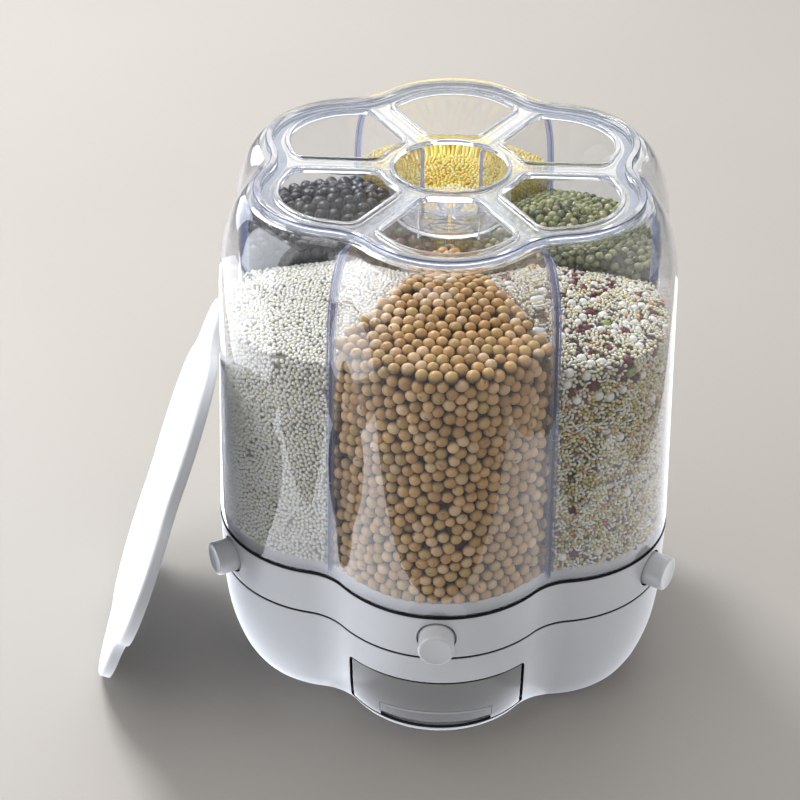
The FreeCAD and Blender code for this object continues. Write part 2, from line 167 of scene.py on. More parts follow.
# ============================================================================ mesh building
class Build:
    def __init__(self):
        self.v, self.f, self.m, self.n = [], [], [], 0

    def add(self, verts, faces, mat=0):
        verts = np.asarray(verts, float).reshape(-1, 3)
        for f in faces:
            self.f.append([int(i) + self.n for i in f])
            self.m.append(mat)
        self.v.append(verts)
        self.n += len(verts)

    def grid(self, P, mat=0, wrap=True, close=False, skip=None):
        """P is rows x columns x 3; skip(row, column) leaves a cell out; mat may be a list per row."""
        P = np.asarray(P, float)
        r, c = P.shape[:2]
        faces, mats = [], []
        for i in range(r if close else r - 1):
            i2 = (i + 1) % r
            for j in range(c if wrap else c - 1):
                if skip and skip(i, j):
                    continue
                j2 = (j + 1) % c
                faces.append((i * c + j, i * c + j2, i2 * c + j2, i2 * c + j))
                mats.append(mat[i] if isinstance(mat, (list, tuple)) else mat)
        for f, m in zip(faces, mats):
            self.f.append([k + self.n for k in f])
            self.m.append(m)
        self.v.append(P.reshape(-1, 3))
        self.n += r * c

    def cap(self, loop, mat=0):
        loop = np.asarray(loop, float)
        centre = loop.mean(0)
        n = len(loop)
        self.add(np.concatenate([loop, [centre]]), [(i, (i + 1) % n, n) for i in range(n)], mat)

    def box(self, x0, x1, y0, y1, z0, z1, mat=0, place=None):
        v = np.array([(x, y, z) for x in (x0, x1) for y in (y0, y1) for z in (z0, z1)], float)
        if place is not None:
            v = place(v)
        self.add(v, [(0, 1, 3, 2), (4, 6, 7, 5), (0, 4, 5, 1), (2, 3, 7, 6), (0, 2, 6, 4), (1, 5, 7, 3)], mat)

    def make(self, name, mats, body, replaces=(), slot=None, angle=35.0, merge=0.004, place=None, bevel=None):
        v = np.concatenate(self.v)
        if place is not None:
            v = place(v)
        me = bpy.data.meshes.new(name)
        me.from_pydata([tuple(x) for x in v * MM], [], self.f)
        me.polygons.foreach_set("material_index", np.array(self.m, np.int32))
        bm = bmesh.new()
        bm.from_mesh(me)
        bmesh.ops.remove_doubles(bm, verts=bm.verts, dist=merge * MM)
        bad = [f for f in bm.faces if f.calc_area() < 1e-14]
        if bad:
            bmesh.ops.delete(bm, geom=bad, context="FACES_ONLY")
        bmesh.ops.recalc_face_normals(bm, faces=bm.faces)
        bm.to_mesh(me)
        bm.free()
        for m in mats:
            me.materials.append(m)
        me.shade_smooth()
        me.set_sharp_from_angle(angle=math.radians(angle))
        o = bpy.data.objects.new(name, me)
        bpy.context.scene.collection.objects.link(o)
        if bevel:
            b = o.modifiers.new("edge", "BEVEL")
            b.width, b.segments, b.limit_method, b.angle_limit = bevel * MM, 2, "ANGLE", math.radians(40)
            b.harden_normals = False
        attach(o, body)
        if replaces:
            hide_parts(*replaces)
        return o


def sweep(b, rows, cols, mat=0, close=True, skip=None):
    """rows is a list of (outline, z)."""
    P = []
    for o, z in rows:
        xy = outline(o, cols)
        P.append(np.concatenate([xy, np.full((len(xy), 1), z)], 1))
    b.grid(P, mat, True, close, skip)
    return P


def lobed_place(a):
    def f(v):
        x, y = turn(v[:, 0], v[:, 1], a)
        return np.stack([x, y, v[:, 2]], 1)
    return f


def patch(b, outer, hole, surf, rings, edge, mat=0, mat_edge=None):
    """Surface between a closed boundary and a hole: outer and hole(off) give (y, z) places in the same order; surf(y, z, depth)
    gives the point. edge is a list of (off, depth) that rounds the hole's edge and runs into it."""
    outer = np.asarray(outer, float)
    h0 = np.asarray(hole(edge[0][0]), float)
    P = []
    for i in range(rings + 1):
        t = i / rings
        q = outer * (1 - t) + h0 * t
        P.append([surf(y, z, 0.0) for y, z in q])
    b.grid(P, mat)
    P = []
    for off, depth in edge:
        q = hole(off)
        P.append([surf(y, z, depth) for y, z in q])
    b.grid(P, mat if mat_edge is None else list(mat_edge))


# ============================================================================ materials
def tree(name):
    m = bpy.data.materials.new(name)
    m.use_nodes = True
    nt = m.node_tree
    nt.nodes.clear()
    out = nt.nodes.new("ShaderNodeOutputMaterial")
    return m, nt, out


def node(nt, kind, **kw):
    n = nt.nodes.new(kind)
    for k, v in kw.items():
        if k in n.bl_rna.properties.keys():
            setattr(n, k, v)
        else:
            n.inputs[k.replace("_", " ")].default_value = v
    return n


def coords(nt, scale=1.0):
    tc = nt.nodes.new("ShaderNodeTexCoord")
    mp = nt.nodes.new("ShaderNodeMapping")
    mp.inputs["Scale"].default_value = (scale, scale, scale)
    nt.links.new(tc.outputs["Object"], mp.inputs["Vector"])
    return mp.outputs["Vector"]


def noise(nt, vec, scale, detail=3.0, rough=0.5):
    n = nt.nodes.new("ShaderNodeTexNoise")
    n.inputs["Scale"].default_value = scale
    n.inputs["Detail"].default_value = detail
    n.inputs["Roughness"].default_value = rough
    nt.links.new(vec, n.inputs["Vector"])
    return n


def ramp(nt, fac, stops):
    r = nt.nodes.new("ShaderNodeValToRGB")
    while len(r.color_ramp.elements) < len(stops):
        r.color_ramp.elements.new(0.5)
    for e, (p, c) in zip(r.color_ramp.elements, stops):
        e.position = p
        e.color = (*c, 1.0) if len(c) == 3 else c
    nt.links.new(fac, r.inputs["Fac"])
    return r.outputs["Color"]


def moulded(name, low, high, rough=(0.30, 0.40), bump=0.02, scale=1500.0, spec=0.5, coat=0.0):
    """Injection moulded plastic: faint cloudiness in colour and gloss, and a very fine grain."""
    m, nt, out = tree(name)
    p = nt.nodes.new("ShaderNodeBsdfPrincipled")
    p.inputs["Specular IOR Level"].default_value = spec
    p.inputs["Coat Weight"].default_value = coat
    vec = coords(nt)
    n1 = noise(nt, vec, 22.0, 4.0, 0.55)
    nt.links.new(ramp(nt, n1.outputs["Fac"], [(0.3, low), (0.7, high)]), p.inputs["Base Color"])
    n2 = noise(nt, vec, 90.0, 3.0, 0.6)
    mr = nt.nodes.new("ShaderNodeMapRange")
    mr.inputs["To Min"].default_value, mr.inputs["To Max"].default_value = rough
    nt.links.new(n2.outputs["Fac"], mr.inputs["Value"])
    nt.links.new(mr.outputs["Result"], p.inputs["Roughness"])
    n3 = noise(nt, vec, scale, 2.0, 0.5)
    bp = nt.nodes.new("ShaderNodeBump")
    bp.inputs["Strength"].default_value = bump
    bp.inputs["Distance"].default_value = 0.0002
    nt.links.new(n3.outputs["Fac"], bp.inputs["Height"])
    nt.links.new(bp.outputs["Normal"], p.inputs["Normal"])
    nt.links.new(p.outputs["BSDF"], out.inputs["Surface"])
    return m


def clear(name, through, edge, milk=(0.85, 0.9, 1.0), haze=0.03, haze_edge=0.25, f0=0.045, gloss=0.02, power=3.0):
    """Clear moulded plastic as a thin skin: it lets light through, tints and clouds where the wall is seen edge-on, and mirrors
    more towards grazing angles. Fine flow marks vary its gloss."""
    m, nt, out = tree(name)
    lw = nt.nodes.new("ShaderNodeLayerWeight")
    lw.inputs["Blend"].default_value = 0.5

    def power_of(x):
        q = nt.nodes.new("ShaderNodeMath")
        q.operation = "POWER"
        q.inputs[1].default_value = x
        nt.links.new(lw.outputs["Facing"], q.inputs[0])
        return q.outputs[0]

    def ranged(v, lo, hi):
        r = nt.nodes.new("ShaderNodeMapRange")
        r.inputs["To Min"].default_value, r.inputs["To Max"].default_value = lo, hi
        nt.links.new(v, r.inputs["Value"])
        return r.outputs["Result"]

    t = nt.nodes.new("ShaderNodeBsdfTransparent")
    nt.links.new(ramp(nt, power_of(power), [(0.0, through), (1.0, edge)]), t.inputs["Color"])
    d = nt.nodes.new("ShaderNodeBsdfDiffuse")
    vec = coords(nt)
    cloud = noise(nt, vec, 14.0, 2.0, 0.5)
    nt.links.new(ramp(nt, cloud.outputs["Fac"], [(0.3, tuple(x * 0.94 for x in milk)), (0.7, milk)]), d.inputs["Color"])
    mixh = nt.nodes.new("ShaderNodeMixShader")
    nt.links.new(ranged(power_of(power), haze, haze_edge), mixh.inputs["Fac"])
    nt.links.new(t.outputs[0], mixh.inputs[1])
    nt.links.new(d.outputs[0], mixh.inputs[2])
    g = nt.nodes.new("ShaderNodeBsdfGlossy")
    flow = noise(nt, vec, 30.0, 3.0, 0.6)
    nt.links.new(ranged(flow.outputs["Fac"], gloss * 0.5, gloss * 1.6), g.inputs["Roughness"])
    mixg = nt.nodes.new("ShaderNodeMixShader")
    nt.links.new(ranged(power_of(5.0), f0, 1.0), mixg.inputs["Fac"])
    nt.links.new(mixh.outputs[0], mixg.inputs[1])
    nt.links.new(g.outputs[0], mixg.inputs[2])
    nt.links.new(mixg.outputs[0], out.inputs["Surface"])
    return m


def glass(name, tint, gloss=0.02, ior=1.49, film=None, milk=(0.80, 0.85, 0.95)):
    """Clear moulded plastic as a solid: it refracts, and lamps and soft light pass it. Flow marks vary its gloss. film is the
    share of a faint dusty skin, seen square on and at grazing angles, where the eye looks through more of it."""
    m, nt, out = tree(name)
    g = nt.nodes.new("ShaderNodeBsdfGlass")
    g.inputs["IOR"].default_value = ior
    vec = coords(nt)
    flow = noise(nt, vec, 24.0, 3.0, 0.6)
    mr = nt.nodes.new("ShaderNodeMapRange")
    mr.inputs["To Min"].default_value, mr.inputs["To Max"].default_value = gloss * 0.4, gloss * 1.6
    nt.links.new(flow.outputs["Fac"], mr.inputs["Value"])
    nt.links.new(mr.outputs["Result"], g.inputs["Roughness"])
    nt.links.new(ramp(nt, flow.outputs["Fac"], [(0.3, tuple(x * 0.985 for x in tint)), (0.7, tint)]), g.inputs["Color"])
    t = nt.nodes.new("ShaderNodeBsdfTransparent")
    nt.links.new(ramp(nt, flow.outputs["Fac"], [(0.3, tuple(x * 0.985 for x in tint)), (0.7, tint)]), t.inputs["Color"])
    lp = nt.nodes.new("ShaderNodeLightPath")
    mx = nt.nodes.new("ShaderNodeMath")
    mx.operation = "MAXIMUM"
    nt.links.new(lp.outputs["Is Shadow Ray"], mx.inputs[0])
    nt.links.new(lp.outputs["Is Diffuse Ray"], mx.inputs[1])
    ms = nt.nodes.new("ShaderNodeMixShader")
    nt.links.new(mx.outputs[0], ms.inputs["Fac"])
    nt.links.new(g.outputs[0], ms.inputs[1])
    nt.links.new(t.outputs[0], ms.inputs[2])
    last = ms
    if film:
        d = nt.nodes.new("ShaderNodeBsdfDiffuse")
        nt.links.new(ramp(nt, flow.outputs["Fac"], [(0.3, tuple(x * 0.94 for x in milk)), (0.7, milk)]), d.inputs["Color"])
        lw = nt.nodes.new("ShaderNodeLayerWeight")
        lw.inputs["Blend"].default_value = 0.5
        fr = nt.nodes.new("ShaderNodeMapRange")
        fr.inputs["To Min"].default_value, fr.inputs["To Max"].default_value = film
        nt.links.new(lw.outputs["Facing"], fr.inputs["Value"])
        mh = nt.nodes.new("ShaderNodeMixShader")
        nt.links.new(fr.outputs["Result"], mh.inputs["Fac"])
        nt.links.new(ms.outputs[0], mh.inputs[1])
        nt.links.new(d.outputs[0], mh.inputs[2])
        last = mh
    nt.links.new(last.outputs[0], out.inputs["Surface"])
    return m


def metal(name, low, high, rough=(0.22, 0.4)):
    m, nt, out = tree(name)
    p = nt.nodes.new("ShaderNodeBsdfPrincipled")
    p.inputs["Metallic"].default_value = 1.0
    vec = coords(nt)
    n1 = noise(nt, vec, 300.0, 3.0, 0.6)
    nt.links.new(ramp(nt, n1.outputs["Fac"], [(0.3, low), (0.7, high)]), p.inputs["Base Color"])
    mr = nt.nodes.new("ShaderNodeMapRange")
    mr.inputs["To Min"].default_value, mr.inputs["To Max"].default_value = rough
    nt.links.new(n1.outputs["Fac"], mr.inputs["Value"])
    nt.links.new(mr.outputs["Result"], p.inputs["Roughness"])
    nt.links.new(p.outputs["BSDF"], out.inputs["Surface"])
    return m


M_WHITE = moulded("white_plastic", (0.60, 0.62, 0.65), (0.645, 0.665, 0.695), (0.30, 0.38))
M_BUTTON = moulded("button_plastic", (0.62, 0.635, 0.66), (0.66, 0.675, 0.70), (0.28, 0.36))
M_LID = moulded("lid_plastic", (0.55, 0.575, 0.61), (0.59, 0.615, 0.65), (0.40, 0.50), spec=0.35)
M_INNER = moulded("inner_plastic", (0.70, 0.71, 0.73), (0.75, 0.76, 0.78), (0.45, 0.6), 0.05)
# painted shade: near-black plastic on the faces inside the parting gaps, the button holes and the drawer bay, standing
# in for the shade there
M_GAP_SHADE = moulded("seam_painted_shade", (0.020, 0.021, 0.024), (0.035, 0.036, 0.040), (0.6, 0.75), 0.05)
M_RUBBER = moulded("foot_rubber", (0.20, 0.205, 0.215), (0.26, 0.265, 0.275), (0.7, 0.85), 0.2)
M_GASKET = moulded("gasket_rubber", (0.005, 0.005, 0.007), (0.010, 0.010, 0.013), (0.75, 0.88), 0.05, spec=0.1)
M_SILICONE = moulded("silicone", (0.70, 0.72, 0.74), (0.78, 0.80, 0.82), (0.4, 0.55), 0.05)
M_CAGE = moulded("cage_plastic", (0.62, 0.60, 0.55), (0.70, 0.68, 0.62), (0.4, 0.55), 0.05)
M_STEEL = metal("plated_steel", (0.55, 0.55, 0.56), (0.72, 0.72, 0.73))
M_SPRING = metal("spring_wire", (0.40, 0.40, 0.42), (0.58, 0.58, 0.60))
M_WALL = glass("clear_wall", (0.985, 0.99, 1.0), 0.01, film=(0.0, 0.05), milk=(0.80, 0.85, 0.93))
M_RIM = glass("clear_rim", (0.985, 0.99, 1.0), 0.015, film=(0.005, 0.08), milk=(0.85, 0.90, 0.98))
M_EDGE = glass("clear_edge", (0.84, 0.87, 0.98), 0.03, film=(0.05, 0.16), milk=(0.70, 0.74, 0.96))
# painted reflection: dark navy glass on the rim's outer rounded edge, standing in for the dark surroundings seen
# through that edge
M_RIM_DARK_REFLECTION = glass("clear_edge_dark", (0.34, 0.38, 0.62), 0.03, film=(0.30, 0.55), milk=(0.10, 0.11, 0.22))
M_FIN = glass("clear_edge_fin", (0.62, 0.66, 0.92), 0.03, film=(0.02, 0.08), milk=(0.50, 0.54, 0.80))
M_VANE = glass("clear_vane", (0.98, 0.985, 1.0), 0.01, film=(0.01, 0.05), milk=(0.82, 0.86, 0.94))
M_SMOKE = clear("smoky_plastic", (0.54, 0.53, 0.51), (0.40, 0.39, 0.38), milk=(0.46, 0.45, 0.44), haze=0.40, haze_edge=0.55, f0=0.035, gloss=0.16)
M_SMOKE_RIB = clear("smoky_plastic_rib", (0.62, 0.61, 0.60), (0.55, 0.54, 0.53), milk=(0.66, 0.65, 0.64), haze=0.60, haze_edge=0.75, f0=0.05, gloss=0.06)
M_SMOKE_EDGE = clear("smoky_plastic_edge", (0.10, 0.10, 0.10), (0.05, 0.05, 0.05), milk=(0.05, 0.05, 0.05), haze=0.60, haze_edge=0.80, f0=0.04, gloss=0.1)

FINISH = {
    "white_shell": M_WHITE, "white_inner": M_INNER, "foot_rubber": M_RUBBER, "steel": M_STEEL, "spring_steel": M_SPRING,
    "cage_plastic": M_CAGE, "smoke_clear": M_SMOKE, "dark_gasket": M_GASKET, "clear_barrel": M_WALL, "button_white": M_BUTTON,
    "lid_white": M_LID, "seal_silicone": M_SILICONE}
slot_of = {s["node"]: s["material_slot"] for s in frame["record"]["subparts"]}
for name, ob in frame["nodes"].items():
    ob.data.materials.clear()
    ob.data.materials.append(FINISH[slot_of[name]])

# ============================================================================ base shell with the drawer bay
COLS = columns(40, 10)
PER = len(COLS)
BASE_R = [(1.0, 116.9), (5.0, 119.2), (10.0, 121.6), (20.0, 124.9), (30.0, 127.2), (42.0, 128.8), (52.0, 129.4), (61.5, 129.6)]
_bz = smooth_curve([(R, z) for z, R in BASE_R], 8)
_bzz, _bzr = [p[1] for p in _bz], [p[0] for p in _bz]


def base_outline(z, d=0.0):
    R = float(np.interp(z, _bzz, _bzr))
    return inset(mix(BASE_FOOT, BASE_RIM, (R - 116.4) / 13.2), d)


def ring_outline(z, d=0.0):
    return inset(mix(BASE_RIM, RING_TOP, (z - Z_RING_BOT) / (Z_RING - Z_RING_BOT)), d)


def half_cols():
    """One lobe from valley to valley: the second half of the valley before it, its arc, the first half of the valley after it."""
    arc = [c for c in COLS if c[0] == "a"]
    fil = [("f", i / 10) for i in range(1, 10)]
    return fil, arc


def sector_lateral(o, side_n=5):
    """Sideways places of a lobe's columns from valley to valley, in order."""
    ys = []
    for i in range(side_n, 0, -1):
        x, y = lobe_point(o, ("f", i / 10))
        ys.append(-y)
    for c in COLS[:41]:
        ys.append(lobe_point(o, c)[1])
    for i in range(1, side_n + 1):
        ys.append(lobe_point(o, ("f", i / 10))[1])
    return ys


def rect_loop(ys_bottom, ys_top, zs, left, right):
    """Boundary of a patch as (y, z): along the bottom, up the right side, back along the top, down the left side."""
    out = [(y, zs[0]) for y in ys_bottom[:-1]]
    out += [(right[i], zs[i]) for i in range(len(zs) - 1)]
    out += [(y, zs[-1]) for y in ys_top[::-1][:-1]]
    out += [(left[i], zs[i]) for i in range(len(zs) - 1, 0, -1)]
    return out


def square_hole(loop, yc, zc, hy, hz, r):
    """Rounded rectangle in step with a patch's boundary."""
    loop = np.asarray(loop, float)
    z0, z1 = loop[:, 1].min(), loop[:, 1].max()
    n = len(loop)
    q = np.zeros((n, 2))
    for i, (y, z) in enumerate(loop):
        row = loop[np.abs(loop[:, 1] - z) < 1e-6]
        half = np.abs(row[:, 0]).max()
        q[i] = (y / half, (z - (z0 + z1) / 2) / ((z1 - z0) / 2))

    def hole(off):
        a, b, rr = hy + off, hz + off, r + off
        out = []
        for u, w in q:
            x, y = u * a, w * b
            cx, cy = a - rr, b - rr
            if abs(x) > cx and abs(y) > cy:
                dx, dy = abs(x) - cx, abs(y) - cy
                L = math.hypot(dx, dy)
                if L > 1e-9:
                    dx, dy = dx / L * rr, dy / L * rr
                x, y = math.copysign(cx + dx, x), math.copysign(cy + dy, y)
            out.append((yc + x, zc + y))
        return out
    return hole


def round_hole(loop, zc, r):
    loop = np.asarray(loop, float)
    z0, z1 = loop[:, 1].min(), loop[:, 1].max()
    hy = np.abs(loop[:, 0]).max()
    ang = [math.atan2((z - (z0 + z1) / 2) / ((z1 - z0) / 2), y / hy) for y, z in loop]

    def hole(off):
        return [((r + off) * math.cos(a), zc + (r + off) * math.sin(a)) for a in ang]
    return hole


def round_edge(r, depth, n=4):
    out = [(r * (1 - math.sin(math.pi / 2 * i / n)), r * (1 - math.cos(math.pi / 2 * i / n))) for i in range(n + 1)]
    return out + [(0.0, depth)]


def shell_with_bay():
    b = Build()
    zs_mid = [2.6, 4.0] + [6.0 + 3.0 * i for i in range(14)] + [48.0]
    outer = [(base_outline(1.0, 2.4), 1.0)]
    for d, z in fillet(0.9, 1.0, -1, 1, 0.9):
        outer.append((base_outline(z, d), z))
    n0 = len(outer)
    outer += [(base_outline(z), z) for z in zs_mid]
    n1 = len(outer) - 1
    outer += [(base_outline(z), z) for z in (52.0, 56.0, 61.1)]
    for d, z in fillet(0.0, 61.15, 1, 1, 0.35, first="z"):
        outer.append((base_outline(z, d), z))
    land = len(outer) - 1
    outer.append((base_outline(61.5, 2.4), 61.5))
    inner_z = [60.0, 56.0, 52.0] + zs_mid[::-1]
    m0 = len(outer) + 3
    outer += [(base_outline(z, 2.4), z) for z in inner_z]
    m1 = len(outer) - 1
    total = 6 * PER

    def in_front(j):
        # the front lobe is the first; its columns run from the middle of the valley before it to the middle of the one after
        return j < 45 or j >= total - 5

    def skip(i, j):
        return in_front(j) and (n0 <= i < n1 or m0 <= i < m1)

    # the land row inside the parting gap takes the painted shade
    sweep(b, outer, COLS, [1 if i == land else 0 for i in range(len(outer))], True, skip)
    place = lobed_place(-90)
    for d, edge in ((0.0, round_edge(0.35, 2.4)), (2.4, [(0.0, 0.0)])):
        ys0, ys1 = sector_lateral(base_outline(zs_mid[0], d)), sector_lateral(base_outline(zs_mid[-1], d))
        right = [lobe_point(base_outline(z, d), ("f", 0.5))[1] for z in zs_mid]
        loop = rect_loop(ys0, ys1, zs_mid, [-y for y in right], right)
        hole = square_hole(loop, 0.0, 25.1, 46.0, 20.1, 1.6)

        def surf(y, z, depth, d=d):
            if depth >= 2.39:
                return (lobe_x(base_outline(z, 2.4), y), y, z)
            return (lobe_x(base_outline(z, d), y) - depth, y, z)
        pb = Build()
        # the drawer bay's tunnel faces take the painted shade
        patch(pb, loop, hole, surf, 5, edge if d == 0 else [(0.0, 0.0), (0.0, 0.0)], 0, [0, 0, 0, 0, 1, 1] if d == 0 else None)
        v = place(np.concatenate(pb.v))
        b.v.append(v)
        b.f += [[k + b.n for k in f] for f in pb.f]
        b.m += pb.m
        b.n += len(v)
    return b.make("base_shell_body", [M_WHITE, M_GAP_SHADE], "base", ["base_shell"], "white_shell")


def ring_with_holes():
    b = Build()
    zs = [63.6 + i * (86.9 - 63.6) / 12 for i in range(13)]
    zi = [63.6 + i * (85.58 - 63.6) / 12 for i in range(13)]
    rows = [(ring_outline(62.8, 2.4), 62.8)]
    for d, z in fillet(0.35, 62.8, -1, 1, 0.35):
        rows.append((ring_outline(z, d), z))
    n0 = len(rows)
    rows += [(ring_outline(z), z) for z in zs]
    n1 = len(rows) - 1
    for d, z in fillet(0.0, 87.5, 1, 1, 0.5, first="z"):
        rows.append((ring_outline(z, d), z))
    rows += [(ring_outline(88.0, 2.4), 88.0), (ring_outline(88.0, 5.0), 88.0), (ring_outline(88.0, 8.4), 88.0), (ring_outline(85.6, 8.4), 85.6), (ring_outline(85.6, 2.4), 85.6)]
    m0 = len(rows) - 1 + 1
    rows += [(ring_outline(z, 2.4), z) for z in zi[::-1]]
    m1 = len(rows) - 1
    lo, hi = 12, 28          # columns of the arc inside the patch

    def skip(i, j):
        c = j % PER
        return lo <= c < hi and (n0 <= i < n1 or m0 <= i < m1)

    # the ring's underside inside the parting gap takes the painted shade
    sweep(b, rows, COLS, [1 if i == 0 else 0 for i in range(len(rows))], True, skip)
    for a in AZ:
        place = lobed_place(a)
        for d, zz in ((0.0, zs), (2.4, zi)):
            def lat(z, c, d=d):
                return lobe_point(ring_outline(z, d), COLS[c])[1]
            ys0 = [lat(zz[0], c) for c in range(lo, hi + 1)]
            ys1 = [lat(zz[-1], c) for c in range(lo, hi + 1)]
            loop = rect_loop(ys0, ys1, zz, [lat(z, lo) for z in zz], [lat(z, hi) for z in zz])
            hole = round_hole(loop, BTN_Z, BTN_HOLE)

            def surf(y, z, depth, d=d):
                if depth >= 2.39:
                    return (lobe_x(ring_outline(z, 2.4), y), y, z)
                return (lobe_x(ring_outline(z, d), y) - depth, y, z)
            pb = Build()
            # each button hole's tunnel faces take the painted shade
            patch(pb, loop, hole, surf, 3, round_edge(0.3, 2.4) if d == 0 else [(0.0, 0.0), (0.0, 0.0)], 0, [0, 0, 0, 0, 1, 1] if d == 0 else None)
            v = place(np.concatenate(pb.v))
            b.v.append(v)
            b.f += [[k + b.n for k in f] for f in pb.f]
            b.m += pb.m
            b.n += len(v)
    return b.make("button_ring_body", [M_WHITE, M_GAP_SHADE], "turret", ["button_ring"], "white_shell")


shell_with_bay()
ring_with_holes()


# ============================================================================ buttons
def lathe(b, profile, n=48, mat=0, axis="z", z0=0.0):
    """profile is (radius, along); closed at both ends where the radius is 0."""
    P = []
    for r, s in profile:
        a = np.arange(n) * 2 * math.pi / n
        if axis == "x":
            P.append(np.stack([np.full(n, s), r * np.cos(a), z0 + r * np.sin(a)], 1))
        else:
            P.append(np.stack([r * np.cos(a), r * np.sin(a), np.full(n, s)], 1))
    b.grid(P, mat)


for k, a in enumerate(AZ, 1):
    b = Build()
    prof = [(0.001, 139.45), (3.0, 139.47), (5.6, 139.60), (7.0, 139.86), (7.6, 139.97)]
    prof += [(7.8 + 1.4 * math.sin(t), 138.6 + 1.4 * math.cos(t)) for t in [math.pi / 2 * i / 7 for i in range(8)]]
    prof += [(9.2, 134.0), (9.2, 129.0), (9.2, 125.9), (9.0, 125.7), (3.0, 125.7), (3.0, 96.2), (2.8, 96.0), (0.001, 96.0)]
    lathe(b, prof, 64, 0, "x", BTN_Z)
    b.box(123.5, 125.8, -12.8, 12.8, BTN_Z - 4.0, BTN_Z + 4.0)
    b.make("button_%d_cap" % k, [M_BUTTON], "button_%d_body" % k, ["button_%d" % k], "button_white", place=lobed_place(a))

# ============================================================================ barrel
SHOULDER = [(0.0, 230.0), (0.07, 244.0), (0.19, 254.0), (0.35, 262.0), (0.53, 268.0), (0.73, 272.5), (0.90, 275.0), (1.0, 276.0)]
_sh = smooth_curve([(t, z) for t, z in SHOULDER], 5)
_sh_in = ([p[1] - 2.16 * p[0] for p in _sh], [p[0] for p in _sh])      # height and share, on the inner skin


def barrel_shell():
    b = Build()
    cols = columns(32, 12)

    def low(z, d=0.0):
        return inset(mix(BARREL_BOT, BARREL_MID, (z - Z_BARREL) / (Z_TAPER - Z_BARREL)), d)
    rows = [(low(89.75, 2.4), 89.75)]
    for d, z in fillet(0.6, 89.75, -1, 1, 0.6):
        rows.append((low(z, d), z))
    rows += [(low(z), z) for z in (100, 115, 130, 145, 160, 175, 190, 205, 218)]
    rows += [(mix(BARREL_MID, BARREL_TOP, t), z) for t, z in _sh]
    wall_n = len(rows)
    # ledge, the raised rim with rounded edges, then the seat that the deck rests on
    rim = [(0.0, 276.15)] + fillet(0.0, 279.0, 1, 1, 1.0, 5, "z") + [(2.0, 280.0)] + fillet(3.2, 280.0, 1, -1, 0.8, 4, "d") + [(4.0, 277.6), (4.0, 275.0), (8.4, 275.0)]
    rows += [(inset(RIM_OUT, d), z) for d, z in rim]
    rows += [(inset(RIM_OUT, 8.4), 273.7)]
    rim_n = len(rows)
    for t, z in _sh[::-1]:
        rows.append((inset(mix(BARREL_MID, BARREL_TOP, t), 2.4), z - 2.4 * t * 0.9))
    rows += [(low(z, 2.4), z) for z in (218, 205, 190, 175, 160, 145, 130, 115, 100, 90.4)]
    mats = []
    for i in range(len(rows)):
        # two rows on the rim's outer rounded edge take the painted dark reflection
        mats.append(3 if wall_n + 3 <= i < wall_n + 5 else 1 if wall_n - 3 <= i < rim_n else 0)
    sweep(b, rows, cols, mats, True)
    # guide ribs that hold the vanes, in the valleys
    for a in VAL:
        for s in (-1, 1):
            P = []
            for z in list(range(96, 217, 15)) + [220, 230, 233, 236, 239, 242, 245, 248, 251, 254, 257, 260, 262, 264, 266, 268, 269.5, 271]:
                t = 0.0 if z <= 230 else float(np.interp(z, *_sh_in))
                o = low(z, 2.4) if z <= 230 else inset(mix(BARREL_MID, BARREL_TOP, t), 2.4)
                c, e, beta = geo(o)
                r = e - o[2]
                P.append([(r - 2.4, s * 1.25, z), (r + 0.25, s * 1.25, z), (r + 0.25, s * 2.15, z), (r - 2.1, s * 2.15, z), (r - 2.4, s * 1.9, z)])
            pb = Build()
            pb.grid(P, 2, True)
            pb.cap(P[0], 2)
            pb.cap(P[-1], 2)
            v = lobed_place(a)(np.concatenate(pb.v))
            b.v.append(v)
            b.f += [[k + b.n for k in f] for f in pb.f]
            b.m += pb.m
            b.n += len(v)
    return b.make("barrel_clear_shell", [M_WALL, M_RIM, M_EDGE, M_RIM_DARK_REFLECTION], "turret", ["barrel_shell"], "clear_barrel", angle=30)


